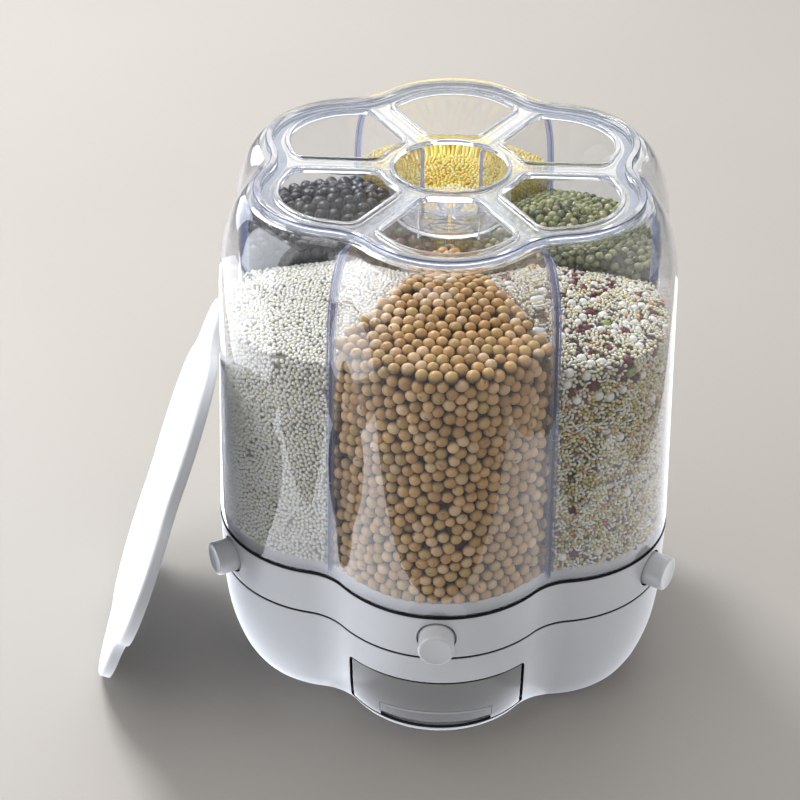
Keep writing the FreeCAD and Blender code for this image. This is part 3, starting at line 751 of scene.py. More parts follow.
def vanes():
    b = Build()
    zs = [92.3, 93.0, 110, 130, 150, 170, 190, 210, 230, 235, 240, 245, 250.7]
    zu = [250.7, 254, 257, 260, 263, 266, 268, 270, 271.5, 272.6]

    def r_out(z):
        t = 0.0 if z <= 230 else float(np.interp(z, *_sh_in))
        o = mix(BARREL_BOT, BARREL_MID, (z - Z_BARREL) / (Z_TAPER - Z_BARREL)) if z <= 230 else mix(BARREL_MID, BARREL_TOP, t)
        o = inset(o, 2.75)
        c, e, beta = geo(o)
        return e - o[2]
    h = 1.1
    for a in VAL:
        pb = Build()
        for levels, r0 in ((zs, 3.6), (zu, 31.7)):
            for s in (-1, 1):
                P = [[(r0 + (r_out(z) - 0.25 - r0) * f, s * h, z) for f in (0, 0.15, 0.4, 0.7, 1.0)] for z in levels]
                pb.grid(P, 0, False)
            # outer edge with rounded corners, seen edge-on at the wall
            P = [[(r_out(z) - 0.25, -h, z), (r_out(z), -h + 0.3, z), (r_out(z), h - 0.3, z), (r_out(z) - 0.25, h, z)] for z in levels]
            pb.grid(P, 2, False)
        # top edges: under the deck, and under the cup's floor
        P = [[(r, s * h, 272.6) for s in (-1, 1)] for r in np.linspace(31.7, r_out(272.6) - 0.25, 6)]
        pb.grid(P, 1, False)
        P = [[(r, s * h, 250.7) for s in (-1, 1)] for r in np.linspace(3.6, 31.7, 4)]
        pb.grid(P, 1, False)
        P = [[(31.7, s * h, z) for s in (-1, 1)] for z in zu]
        pb.grid(P, 1, False)
        P = [[(r, s * h, 92.3) for s in (-1, 1)] for r in np.linspace(3.6, r_out(92.3) - 0.25, 4)]
        pb.grid(P, 1, False)
        v = lobed_place(a)(np.concatenate(pb.v))
        b.v.append(v)
        b.f += [[k + b.n for k in f] for f in pb.f]
        b.m += pb.m
        b.n += len(v)
    lathe(b, [(0.001, 92.3), (3.8, 92.3), (4.0, 92.5), (4.0, 170.0), (4.0, 250.5), (3.8, 250.7), (0.001, 250.7)], 24, 0)
    return b.make("divider_vanes", [M_VANE, M_EDGE, M_FIN], "turret", ["divider_insert"], "clear_barrel")


def deck():
    """Top deck: plate with six rounded filling openings, a bead round each, and the centre cup."""
    b = Build()
    mid = 68.0

    def d_outline(x, y, d):
        R, rho, phi = inset(RIM_OUT, d)
        c, e, beta = geo((R, rho, phi))
        ay = np.abs(y)
        arc = np.arctan2(ay, x - c) <= beta
        return np.where(arc, np.hypot(x - c, ay) - rho, phi - np.hypot(x - e * C30, ay - e * S30))

    def f_open(x, y, off, r):
        parts = [d_outline(x, y, 13.0 - off), np.abs(y) * C30 - x * S30 + (7.0 - off), (37.0 - off) - np.hypot(x, y)]
        best = np.full(x.shape, -1e9)
        r = r + off
        for i in range(3):
            for j in range(i + 1, 3):
                p, q = parts[i] + r, parts[j] + r
                best = np.maximum(best, np.hypot(np.maximum(p, 0), np.maximum(q, 0)) + np.minimum(np.maximum(p, q), 0) - r)
        return best

    def f_sector(x, y):
        return np.maximum(np.maximum(d_outline(x, y, 4.3), np.abs(y) * C30 - x * S30), 31.2 - np.hypot(x, y))

    def cast(f, ang):
        lo, hi = np.zeros(len(ang)), np.full(len(ang), 60.0)
        cs, sn = np.cos(ang), np.sin(ang)
        # first place where it leaves the region
        steps = np.linspace(0, 60, 241)
        for s0, s1 in zip(steps[:-1], steps[1:]):
            inside = f(mid + cs * s1, sn * s1) < 0
            hit = (~inside) & (hi == 60.0)
            lo = np.where(hit, s0, lo)
            hi = np.where(hit, s1, hi)
        for _ in range(40):
            m = (lo + hi) / 2
            ins = f(mid + cs * m, sn * m) < 0
            lo, hi = np.where(ins, m, lo), np.where(ins, hi, m)
        return np.stack([mid + cs * hi, sn * hi], 1)

    c, e, beta = geo(inset(RIM_OUT, 4.3))
    vr = e - (RIM_OUT[2] + 4.3)
    a1 = math.atan2(vr * S30, vr * C30 - mid)
    a2 = math.atan2(31.2 * S30, 31.2 * C30 - mid)
    ang = list(np.linspace(-a1, a1, 41)[:-1]) + list(np.linspace(a1, a2, 17)[:-1]) + list(np.linspace(a2, 2 * math.pi - a2, 13)[:-1]) + list(np.linspace(2 * math.pi - a2, 2 * math.pi - a1, 17)[:-1])
    ang = np.array(ang)
    outer = cast(f_sector, ang)
    rc = 5.0

    def loop(off):
        return cast(lambda x, y: f_open(x, y, off, rc), ang)
    bead = [(3.0, 277.0), (2.75, 277.12), (2.6, 277.5), (2.45, 277.95), (2.1, 278.2), (1.4, 278.25), (0.7, 278.2), (0.25, 277.95), (0.0, 277.5), (0.0, 275.6), (0.35, 275.05)]
    loops = {off: loop(off) for off in sorted({o for o, z in bead} | {3.0})}
    for a in AZ:
        P, mats = [], []
        l0 = loops[3.0]
        for i in range(4):
            t = i / 3
            q = outer * (1 - t) + l0 * t
            P.append(np.concatenate([q, np.full((len(q), 1), 277.0)], 1))
        for off, z in bead[1:]:
            q = loops[off]
            P.append(np.concatenate([q, np.full((len(q), 1), z)], 1))
        for i in range(1, 4):
            t = i / 3
            q = loops[0.35] * (1 - t) + outer * t
            P.append(np.concatenate([q, np.full((len(q), 1), 275.0)], 1))
        P = np.array(P)
        x, y = turn(P[..., 0], P[..., 1], a)
        mats = [0] * 3 + [1] * (len(bead) - 1) + [0] * 3
        b.grid(np.stack([x, y, P[..., 2]], -1), mats)
        # rounded outer edge of the plate, against the rim
        rim = outer[:41]
        n = rim / np.linalg.norm(rim - np.array([c, 0]), axis=1)[:, None]
        E = [np.concatenate([rim, np.full((41, 1), z)], 1) for z in (277.0, 276.0, 275.0)]
        E = np.array(E)
        x, y = turn(E[..., 0], E[..., 1], a)
        b.grid(np.stack([x, y, E[..., 2]], -1), 1, False)
    inner_ang = []
    for a in AZ:
        i0 = 40 + 16
        pts = outer[i0:i0 + 13] if i0 + 13 <= len(outer) else outer[i0:]
        for q in pts[:12]:
            inner_ang.append(math.atan2(q[1], q[0]) + math.radians(a))
    inner_ang = sorted(x % (2 * math.pi) for x in inner_ang)
    prof = [(31.2, 277.0), (31.2, 277.75), (31.05, 278.1), (30.7, 278.3), (29.5, 278.3), (29.15, 278.1), (29.0, 277.7), (29.0, 270.0), (28.95, 260.0), (28.9, 256.0)]
    prof += [(28.9 - 3.0 * (1 - math.cos(t)), 256.0 - 3.0 * math.sin(t)) for t in [math.pi / 2 * i / 5 for i in range(1, 6)]]
    prof += [(18.0, 253.0), (9.0, 253.0), (0.001, 253.0), (0.001, 251.0), (9.0, 251.0), (18.0, 251.0), (27.7, 251.0)]
    prof += [(27.7 + 3.5 * math.sin(t), 251.0 + 3.5 * (1 - math.cos(t))) for t in [math.pi / 2 * i / 5 for i in range(1, 6)]]
    prof += [(31.2, 262.0), (31.2, 275.0)]
    P, mats = [], []
    for r, z in prof:
        P.append([(r * math.cos(x), r * math.sin(x), z) for x in inner_ang])
        mats.append(1 if z >= 277 else 0)
    b.grid(P, mats)
    return b.make("filling_deck", [M_RIM, M_RIM], "turret", ["top_deck"], "clear_barrel", angle=40)


barrel_shell()
vanes()
deck()


# ============================================================================ gasket
def gasket():
    b = Build()
    rows = [(inset(RING_TOP, d), z) for d, z in [(2.2, 88.02), (0.2, 88.02), (-0.1, 88.15), (-0.22, 88.45), (-0.22, 89.35), (-0.1, 89.7), (0.25, 89.9), (2.2, 89.9)]]
    sweep(b, rows, COLS, 0, True)
    return b.make("barrel_gasket", [M_GASKET], "turret", ["barrel_seal"], "dark_gasket")


gasket()


# ============================================================================ drawer
def drawer():
    """Smoky tray. Its curved front skin has a finger slot along the foot, and a pocket with a curved back wall behind it."""
    b = Build()

    def front(y, z, d):
        return lobe_x(base_outline(z, d), y)
    XW, XS, Z0, ZS_, Z1 = 44.6, 29.2, 5.6, 11.0, 44.0
    xs = sorted({round(x, 3) for x in list(np.linspace(-XW, -XS, 7)) + list(np.linspace(-XS, XS, 25)) + list(np.linspace(XS, XW, 7))})
    zs = [Z0, 8.0, ZS_, 14.5, 18.0, 21.5, 25.0, 28.4, 32.0, 36.0, 40.0, Z1]
    idx, V, F, M = {}, [], [], []

    def vert(i, j, s):
        key = (i, j, s)
        if key not in idx:
            idx[key] = len(V)
            y, z = xs[i], zs[j]
            V.append((front(y, z, 0.5 if s == 0 else 2.9), y, z))
        return idx[key]
    nx, nz = len(xs) - 1, len(zs) - 1
    cell = {(i, j): not (abs((xs[i] + xs[i + 1]) / 2) < XS and zs[j + 1] <= ZS_ + 0.01) for i in range(nx) for j in range(nz)}
    for (i, j), on in cell.items():
        if not on:
            continue
        F.append((vert(i, j, 0), vert(i + 1, j, 0), vert(i + 1, j + 1, 0), vert(i, j + 1, 0)))
        F.append((vert(i, j, 1), vert(i, j + 1, 1), vert(i + 1, j + 1, 1), vert(i + 1, j, 1)))
        M += [0, 0]
        for di, dj, p, q in ((-1, 0, (0, 0), (0, 1)), (1, 0, (1, 0), (1, 1)), (0, -1, (0, 0), (1, 0)), (0, 1, (0, 1), (1, 1))):
            if not cell.get((i + di, j + dj), False):
                a, c = (i + p[0], j + p[1]), (i + q[0], j + q[1])
                F.append((vert(*a, 0), vert(*c, 0), vert(*c, 1), vert(*a, 1)))
                M.append(1)
    b.add(V, F)
    b.m = M
    place = lobed_place(-90)
    b.make("drawer_front_panel", [M_SMOKE, M_SMOKE_EDGE], "drawer", ["drawer_tray"], "smoke_clear", place=place, bevel=0.4)

    # tray and pocket behind it, in the lobe's frame: x outwards
    t = Build()

    def bar(pts_of, steps, mats=0):
        """Closed solid along steps; pts_of gives one closed section."""
        P = np.array([pts_of(q) for q in steps], float)
        n = P.shape[1]
        for k in range(n):
            k2 = (k + 1) % n
            t.grid(P[:, [k, k2]], mats[k] if isinstance(mats, (list, tuple)) else mats, False)
        t.cap(P[0], 0)
        t.cap(P[-1], 0)

    def back(y, r):
        return 30.5 + math.sqrt(r * r - y * y)
    ys = list(np.linspace(-42, -30.4, 5)) + list(np.linspace(-30.4, 30.4, 23))[1:-1] + list(np.linspace(30.4, 42, 5))

    def floor_section(y):
        xf = front(y, 7.0, 2.9) - 0.02 if abs(y) > 30.41 else back(y, 74.0)
        return [(38.0, y, 5.3), (xf, y, 5.3), (xf, y, 7.3), (38.0, y, 7.3)]
    bar(floor_section, ys)
    bar(lambda y: [(38.0, y, 7.3), (40.0, y, 7.3), (40.0, y, 39.4), (39.6, y, 40.0), (38.4, y, 40.0), (38.0, y, 39.4)], [-42.0, 0.0, 42.0])
    for s in (-1, 1):
        bar(lambda z: [(40.0, s * 42, z), (front(42, z, 2.9) - 0.02, s * 42, z), (front(42, z, 2.9) - 0.02, s * 40, z), (40.0, s * 40, z)],
            [7.3, 15.0, 25.0, 33.0, 39.4, 40.0])
    # pocket: curved back wall, roof, cheeks
    yw = list(np.linspace(-30.4, 30.4, 27))
    bar(lambda y: [(back(y, 73.4), y, 5.3), (back(y, 75.0), y, 5.3), (back(y, 75.0), y, 28.4), (back(y, 73.4), y, 28.4)], yw, [1, 0, 0, 0])
    bar(lambda y: [(back(y, 73.4), y, 28.4), (front(y, 29.0, 2.9) - 0.02, y, 28.4), (front(y, 29.0, 2.9) - 0.02, y, 30.0), (back(y, 73.4), y, 30.0)], yw, [0, 1, 0, 0])
    for s in (-1, 1):
        bar(lambda z: [(back(30.4, 73.4), s * 30.4, z), (front(31, z, 2.9) - 0.02, s * 30.4, z), (front(31, z, 2.9) - 0.02, s * 32.0, z), (back(30.4, 73.4), s * 32.0, z)],
            [5.3, 12.0, 20.0, 28.4, 30.0], [0, 1, 0, 0])
    # stiffening rib behind the skin
    bar(lambda z: [(front(0, z, 4.4), -0.8, z), (front(0, z, 2.9) - 0.02, -0.8, z), (front(0, z, 2.9) - 0.02, 0.8, z), (front(0, z, 4.4), 0.8, z)],
        [11.0, 16.0, 22.0, 28.0, 34.0, 40.0, 43.2], [0, 2, 0, 0])
    # the pocket's upper edge and cheeks, moulded as a fine step in the skin
    def arch(y):
        return 19.6 + 1.6 * (1 - (y / 29.4) ** 2)

    def strip(z0, z1, d0, d1, mat):
        bar(lambda y: [(front(y, arch(y), d0), y, arch(y) + z0), (front(y, arch(y), d1), y, arch(y) + z0), (front(y, arch(y), d1), y, arch(y) + z1), (front(y, arch(y), d0), y, arch(y) + z1)],
            list(np.linspace(-29.4, 29.4, 25)), [mat] * 4)
    strip(0.0, 0.6, 0.62, 0.42, 1)
    strip(-1.3, 0.0, 0.62, 0.45, 2)
    for s in (-1, 1):
        bar(lambda z: [(front(29.6, z, 0.62), s * 29.3, z), (front(29.6, z, 0.42), s * 29.3, z), (front(29.6, z, 0.42), s * 29.9, z), (front(29.6, z, 0.62), s * 29.9, z)],
            [11.0, 13.0, 15.0, 17.5, 19.9], [1, 1, 1, 1])
    return t.make("drawer_tray_body", [M_SMOKE, M_SMOKE_EDGE, M_SMOKE_RIB], "drawer", (), "smoke_clear", place=place)


drawer()


# ============================================================================ lid
def lid():
    fit = inset(RIM_OUT, -0.9)
    out = inset(fit, -1.8)
    el, az, sp = math.radians(LID_EL), math.radians(LID_AZ), math.radians(LID_SPIN)
    n = Vector((math.cos(el) * math.cos(az), math.cos(el) * math.sin(az), math.sin(el)))
    e1 = Vector((0, 0, 1)).cross(n).normalized()
    e2 = n.cross(e1)
    ax = e1 * math.cos(sp) + e2 * math.sin(sp)
    ay = n.cross(ax)
    rot = np.array([[ax.x, ay.x, n.x], [ax.y, ay.y, n.y], [ax.z, ay.z, n.z]])
    fine = columns(48, 16)
    low = 1e9
    for z in (-LID_H, -1.8):
        xy = outline(out, columns(200, 60))
        low = min(low, float((np.concatenate([xy, np.full((len(xy), 1), z)], 1) @ rot.T)[:, 2].min()))
    shift = np.array([LID_C[0], LID_C[1], -low])
    b = Build()
    rows = [(inset(RIM_OUT, 6.4), -2.0), (inset(RIM_OUT, 6.4), -5.3), (inset(RIM_OUT, 6.2), -5.6), (inset(RIM_OUT, 4.8), -5.6), (inset(RIM_OUT, 4.6), -5.3), (inset(RIM_OUT, 4.6), -2.0),
            (fit, -2.0), (fit, -5.6), (inset(fit, -0.35), -6.0), (inset(out, 0.35), -6.0), (inset(out, 0.1), -5.9), (out, -5.6), (out, -4.0), (out, -2.6), (out, -1.8)]
    for i in range(1, 7):
        t = math.pi / 2 * i / 6
        rows.append((inset(out, 1.8 * (1 - math.cos(t))), -1.8 + 1.8 * math.sin(t)))
    P = []
    for o, z in rows:
        xy = outline(o, fine)
        P.append(np.concatenate([xy, np.full((len(xy), 1), z)], 1))
    last = P[-1]
    for s in (0.985, 0.95, 0.9, 0.8, 0.6, 0.35, 0.1):
        q = last.copy()
        q[:, :2] *= s
        P.append(q)
    P.append(np.concatenate([last[:, :2] * 0.0001, last[:, 2:]], 1))
    under = P[0].copy()
    first = [np.concatenate([under[:, :2] * s, under[:, 2:]], 1) for s in (0.0001, 0.3, 0.7)]
    b.grid(first + P)
    def put(v):
        return v @ rot.T + shift
    b.make("lid_cover", [M_LID], "lid_body", ["lid"], "lid_white", place=put, angle=40)
    s = Build()
    rows = [(inset(RIM_OUT, d), z) for d, z in [(3.8, -2.0), (3.8, -2.9), (3.4, -3.2), (0.6, -3.2), (0.2, -2.9), (0.2, -2.0)]]
    P = []
    for o, z in rows:
        xy = outline(o, fine)
        P.append(np.concatenate([xy, np.full((len(xy), 1), z)], 1))
    s.grid(P, 0, True, True)
    s.make("lid_seal_ring", [M_SILICONE], "lid_body", ["lid_seal"], "seal_silicone", place=put)


lid()

# ============================================================================ contents
ZS = np.array([Z_BARREL, Z_TAPER] + [p[1] for p in _sh[1:]])
RS = np.array([mix(BARREL_BOT, BARREL_MID, t) for t in (0, 1)] + [mix(BARREL_MID, BARREL_TOP, p[0]) for p in _sh[1:]])


def wall_dist(p):
    """Distance inside the barrel's wall, in the lobe's frame, and the way towards the wall."""
    R = np.interp(p[:, 2], ZS, RS[:, 0])
    rho = np.interp(p[:, 2], ZS, RS[:, 1])
    phi = np.interp(p[:, 2], ZS, RS[:, 2])
    c = R - rho
    bb = 2 * c * C30
    e = (bb + np.sqrt(bb * bb - 4 * (c * c - (rho + phi) ** 2))) / 2
    beta = np.arctan2(e * S30, e * C30 - c)
    ay, sg = np.abs(p[:, 1]), np.where(p[:, 1] < 0, -1.0, 1.0)
    dx = p[:, 0] - c
    ra = np.maximum(np.hypot(dx, ay), 1e-6)
    fx, fy = e * C30 - p[:, 0], e * S30 - ay
    rf = np.maximum(np.hypot(fx, fy), 1e-6)
    arc = np.arctan2(ay, dx) <= beta
    d = np.where(arc, rho - WALL - ra, rf - phi - WALL)
    g = np.stack([np.where(arc, dx / ra, fx / rf), np.where(arc, ay / ra, fy / rf) * sg, np.zeros(len(p))], 1)
    return d, g


def vane_dist(p):
    sg = np.where(p[:, 1] < 0, -1.0, 1.0)
    d = p[:, 0] * S30 - np.abs(p[:, 1]) * C30 - 1.1
    g = np.stack([np.full(len(p), -S30), C30 * sg, np.zeros(len(p))], 1)
    return d, g


class Heap:
    """What one compartment holds: a cone under the filling opening, h high at its peak."""

    def __init__(self, azimuth, peak, slope, peak_r=65.0, crease_shade=0.5):
        self.crease_shade = crease_shade
        self.az, self.peak, self.slope, self.pr = azimuth, peak, math.tan(math.radians(slope)), peak_r
        self.cos = math.cos(math.radians(slope))

    def top(self, x, y):
        return self.peak - self.slope * (np.sqrt((x - self.pr) ** 2 + y * y + 64.0) - 8.0)

    def top_dist(self, p):
        q = np.sqrt((p[:, 0] - self.pr) ** 2 + p[:, 1] ** 2 + 64.0)
        d = (self.top(p[:, 0], p[:, 1]) - p[:, 2]) * self.cos
        g = np.stack([self.slope * (p[:, 0] - self.pr) / q, self.slope * p[:, 1] / q, np.ones(len(p))], 1)
        return d, g / np.linalg.norm(g, axis=1)[:, None]


FLOOR_Z = 95.2


def depth_of(heap, p, vane_z):
    """Depth below whichever surface can be seen, and the way out."""
    dw, gw = wall_dist(p)
    dt, gt = heap.top_dist(p)
    dv, gv = vane_dist(p)
    near = (p[:, 2] > vane_z) | (p[:, 0] > 92.0)
    dv = np.where(near, dv, 1e3)
    D = np.stack([dw, dt, dv], 1)
    k = D.argmin(1)
    G = np.stack([gw, gt, gv], 1)
    return D[np.arange(len(p)), k], G[np.arange(len(p)), k]


def pack(heap, radius, thick, seed, vane_z=195.0, rounds=30, share=0.60, sizes=None, settle=0.7):
    """Places grains of the given radius in the outer layer of a heap, thick deep, and lets them push each other apart. For the
    first rounds, the outermost ones are drawn against the wall or the surface, so that they lie close together there."""
    rng = np.random.default_rng(seed)
    lo, hi = np.array([0.0, -60.0, FLOOR_Z]), np.array([126.0, 60.0, heap.peak + 1])
    n_try = 600000
    p = lo + (hi - lo) * rng.random((n_try, 3))
    dw, _ = wall_dist(p)
    dv, _ = vane_dist(p)
    dt, _ = heap.top_dist(p)
    dep, _ = depth_of(heap, p, vane_z)
    inside = (dw > 0) & (dv > 0) & (dt > 0) & (np.hypot(p[:, 0], p[:, 1]) > 4)
    volume = (inside & (dep < thick)).mean() * float(np.prod(hi - lo))
    ok = (dw > radius) & (dv > radius) & (dt > radius) & (dep < thick) & (p[:, 2] > FLOOR_Z + radius * 0.6) & (np.hypot(p[:, 0], p[:, 1]) > 4 + radius)
    count = int(share * volume / (4.18879 * radius ** 3))
    p = p[ok][:count]
    r = np.full(len(p), radius) if sizes is None else radius * sizes(rng, len(p))
    cell = 2.0 * r.max() * 1.02
    K = 8
    for it in range(rounds):
        ij = np.floor((p - lo) / cell).astype(int) + 1
        dims = ij.max(0) + 2
        key = (ij[:, 0] * dims[1] + ij[:, 1]) * dims[2] + ij[:, 2]
        order = np.argsort(key, kind="stable")
        sk = key[order]
        start = np.r_[0, np.flatnonzero(np.diff(sk)) + 1]
        rank = np.arange(len(sk)) - np.repeat(start, np.diff(np.r_[start, len(sk)]))
        table = np.full((int(np.prod(dims)) + 1, K), -1)
        keep = rank < K
        table[sk[keep], rank[keep]] = order[keep]
        move = np.zeros_like(p)
        for a in (-1, 0, 1):
            for b_ in (-1, 0, 1):
                for c_ in (-1, 0, 1):
                    off = (a * dims[1] + b_) * dims[2] + c_
                    nb = table[np.clip(key + off, 0, len(table) - 1)]
                    has = (nb >= 0) & (nb != np.arange(len(p))[:, None])
                    q = p[np.where(has, nb, 0)]
                    dv3 = p[:, None, :] - q
                    dist = np.sqrt((dv3 ** 2).sum(-1)) + 1e-9
                    gap = (r[:, None] + r[np.where(has, nb, 0)]) - dist
                    push = np.where(has & (gap > 0), gap, 0.0)
                    move += (dv3 / dist[..., None] * push[..., None] * 0.5).sum(1)
        L = np.linalg.norm(move, axis=1)[:, None]
        p = p + move * np.minimum(1.0, radius * 0.6 / np.maximum(L, 1e-9))
        d, g = depth_of(heap, p, vane_z)
        if it < rounds * settle:
            p = p + g * (np.clip(d - r, 0.0, None) * np.where(d < 2.3 * r, 0.35, 0.06))[:, None]
        for _ in range(2):
            for fn in (wall_dist, vane_dist, heap.top_dist):
                d, g = fn(p)
                p = p - g * np.maximum(r - d, 0.0)[:, None]
            p[:, 2] = np.maximum(p[:, 2], FLOOR_Z + r * 0.9)
    return p, r, rng


def ball(sub):
    bm = bmesh.new()
    bmesh.ops.create_icosphere(bm, subdivisions=sub, radius=1.0)
    bm.verts.ensure_lookup_table()
    v = np.array([x.co for x in bm.verts])
    f = np.array([[q.index for q in x.verts] for x in bm.faces])
    bm.free()
    return v, f


def rotations(rng, n, axis=None):
    """Random turns; with axis given, the grain's long axis X lies along it."""
    if axis is None:
        q = rng.normal(size=(n, 4))
        q /= np.linalg.norm(q, axis=1)[:, None]
        w, x, y, z = q.T
        return np.stack([1 - 2 * (y * y + z * z), 2 * (x * y - z * w), 2 * (x * z + y * w), 2 * (x * y + z * w), 1 - 2 * (x * x + z * z), 2 * (y * z - x * w),
                         2 * (x * z - y * w), 2 * (y * z + x * w), 1 - 2 * (x * x + y * y)], 1).reshape(n, 3, 3)
    a = axis / np.linalg.norm(axis, axis=1)[:, None]
    h = rng.normal(size=(n, 3))
    bvec = np.cross(a, h)
    bvec /= np.linalg.norm(bvec, axis=1)[:, None]
    return np.stack([a, bvec, np.cross(a, bvec)], 2)


def grains(name, heap, groups, mats):
    """Many small solids. groups is a list of (positions, radii, template, stretch, rotations, tint, material). A compartment with
    very many is cut into an upper and a lower piece."""
    total = sum(len(g[0]) * len(g[2][1]) for g in groups)
    if total > 190000:
        z = np.concatenate([g[0][:, 2] for g in groups])
        w = np.concatenate([np.full(len(g[0]), len(g[2][1])) for g in groups])
        order = np.argsort(z)
        run = np.cumsum(w[order])
        cut = z[order][np.searchsorted(run, total / 2)]
        for part, test in (("lower", lambda q: q[:, 2] < cut), ("upper", lambda q: q[:, 2] >= cut)):
            sub = []
            for pos, rad, tpl, st, rot, tint, mat in groups:
                k = test(pos)
                sub.append((pos[k], rad[k], tpl, st[k], rot[k], tint[k], mat))
            grains(name + "_" + part, heap, [g for g in sub if len(g[0])], mats)
        return
    VV, FF, MM_, TT, LL, off = [], [], [], [], [], 0
    for pos, rad, (tv, tf), stretch, rot, tint, mat in groups:
        n = len(pos)
        local = tv[None] * stretch[:, None, :] * rad[:, None, None]
        v = np.einsum("nij,nkj->nki", rot, local) + pos[:, None, :]
        x, y = turn(v[..., 0], v[..., 1], heap.az)
        v = np.stack([x, y, v[..., 2]], -1).reshape(-1, 3)
        f = (tf[None] + (np.arange(n) * len(tv))[:, None, None] + off).reshape(-1, 3)
        VV.append(v)
        FF.append(f)
        MM_.append(np.full(len(f), mat))
        way = depth_of(heap, pos, 195.0)[1]
        out = np.einsum("nij,kj,ni->nk", rot, tv, way)
        contact_shade = 1.0 - heap.crease_shade * np.clip((0.62 - out) / 0.85, 0.0, 1.0)      # painted shade: tint darkened on each grain's sides that face into the heap, standing in for the shade where grains touch
        TT.append((tint[:, None, :] * contact_shade[..., None]).reshape(-1, 3))
        LL.append(np.tile(tv, (n, 1)))
        off += len(v)
    V, F, Mi, T, L = map(np.concatenate, (VV, FF, MM_, TT, LL))
    me = bpy.data.meshes.new(name)
    me.vertices.add(len(V))
    me.vertices.foreach_set("co", (V * MM).astype(np.float32).ravel())
    me.loops.add(len(F) * 3)
    me.loops.foreach_set("vertex_index", F.astype(np.int32).ravel())
    me.polygons.add(len(F))
    me.polygons.foreach_set("loop_start", np.arange(0, len(F) * 3, 3, dtype=np.int32))
    me.polygons.foreach_set("material_index", Mi.astype(np.int32))
    me.update(calc_edges=True)
    me.validate()
    at = me.attributes.new("tint", "FLOAT_COLOR", "POINT")
    at.data.foreach_set("color", np.concatenate([T, np.ones((len(T), 1))], 1).astype(np.float32).ravel())
    al = me.attributes.new("place", "FLOAT_VECTOR", "POINT")
    al.data.foreach_set("vector", L.astype(np.float32).ravel())
    for m in mats:
        me.materials.append(m)
    me.shade_smooth()
    o = bpy.data.objects.new(name, me)
    bpy.context.scene.collection.objects.link(o)
    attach(o, "turret")
    return o


def grain_material(name, rough=(0.35, 0.5), spot=None, vary=0.12, fine=900.0, bump=0.15, spec=0.45, sheen_dark=0.0):
    """Dry grain: its tint from the mesh, which holds painted shade besides the grain's own colour, mottled, with a seed
    scar where spot gives a colour.
    """
    m, nt, out = tree(name)
    p = nt.nodes.new("ShaderNodeBsdfPrincipled")
    p.inputs["Specular IOR Level"].default_value = spec
    at = nt.nodes.new("ShaderNodeAttribute")
    at.attribute_name = "tint"
    vec = coords(nt)
    n1 = noise(nt, vec, fine, 3.0, 0.6)
    shade = ramp(nt, n1.outputs["Fac"], [(0.25, (1 - vary,) * 3), (0.75, (1 + 0.0,) * 3)])
    mul = nt.nodes.new("ShaderNodeMix")
    mul.data_type, mul.blend_type = "RGBA", "MULTIPLY"
    mul.inputs["Factor"].default_value = 1.0
    nt.links.new(at.outputs["Color"], mul.inputs[6])
    nt.links.new(shade, mul.inputs[7])
    col = mul.outputs[2]
    if spot is not None:
        pl = nt.nodes.new("ShaderNodeAttribute")
        pl.attribute_name = "place"
        sub = nt.nodes.new("ShaderNodeVectorMath")
        sub.operation = "SUBTRACT"
        sub.inputs[1].default_value = (0.0, 0.0, 1.0)
        nt.links.new(pl.outputs["Vector"], sub.inputs[0])
        sc = nt.nodes.new("ShaderNodeVectorMath")
        sc.operation = "MULTIPLY"
        sc.inputs[1].default_value = (1.0, 2.6, 1.0)
        nt.links.new(sub.outputs[0], sc.inputs[0])
        ln = nt.nodes.new("ShaderNodeVectorMath")
        ln.operation = "LENGTH"
        nt.links.new(sc.outputs[0], ln.inputs[0])
        k = ramp(nt, ln.outputs["Value"], [(0.30, (1, 1, 1)), (0.42, (0, 0, 0))])
        mx = nt.nodes.new("ShaderNodeMix")
        mx.data_type = "RGBA"
        nt.links.new(k, mx.inputs["Factor"])
        nt.links.new(col, mx.inputs[6])
        mx.inputs[7].default_value = (*spot, 1.0)
        col = mx.outputs[2]
    nt.links.new(col, p.inputs["Base Color"])
    mr = nt.nodes.new("ShaderNodeMapRange")
    mr.inputs["To Min"].default_value, mr.inputs["To Max"].default_value = rough
    nt.links.new(n1.outputs["Fac"], mr.inputs["Value"])
    nt.links.new(mr.outputs["Result"], p.inputs["Roughness"])
    bp = nt.nodes.new("ShaderNodeBump")
    bp.inputs["Strength"].default_value = bump
    bp.inputs["Distance"].default_value = 0.0002
    nt.links.new(n1.outputs["Fac"], bp.inputs["Height"])
    nt.links.new(bp.outputs["Normal"], p.inputs["Normal"])
    nt.links.new(p.outputs["BSDF"], out.inputs["Surface"])
    return m


def tints(rng, n, base, spread):
    """Colour of each grain: one of the base colours, brighter or darker."""
    base = np.asarray(base, float).reshape(-1, 3)
    c = base[rng.integers(0, len(base), n)]
    return np.clip(c * (1 + spread * rng.normal(size=(n, 1))), 0.0, 0.95)


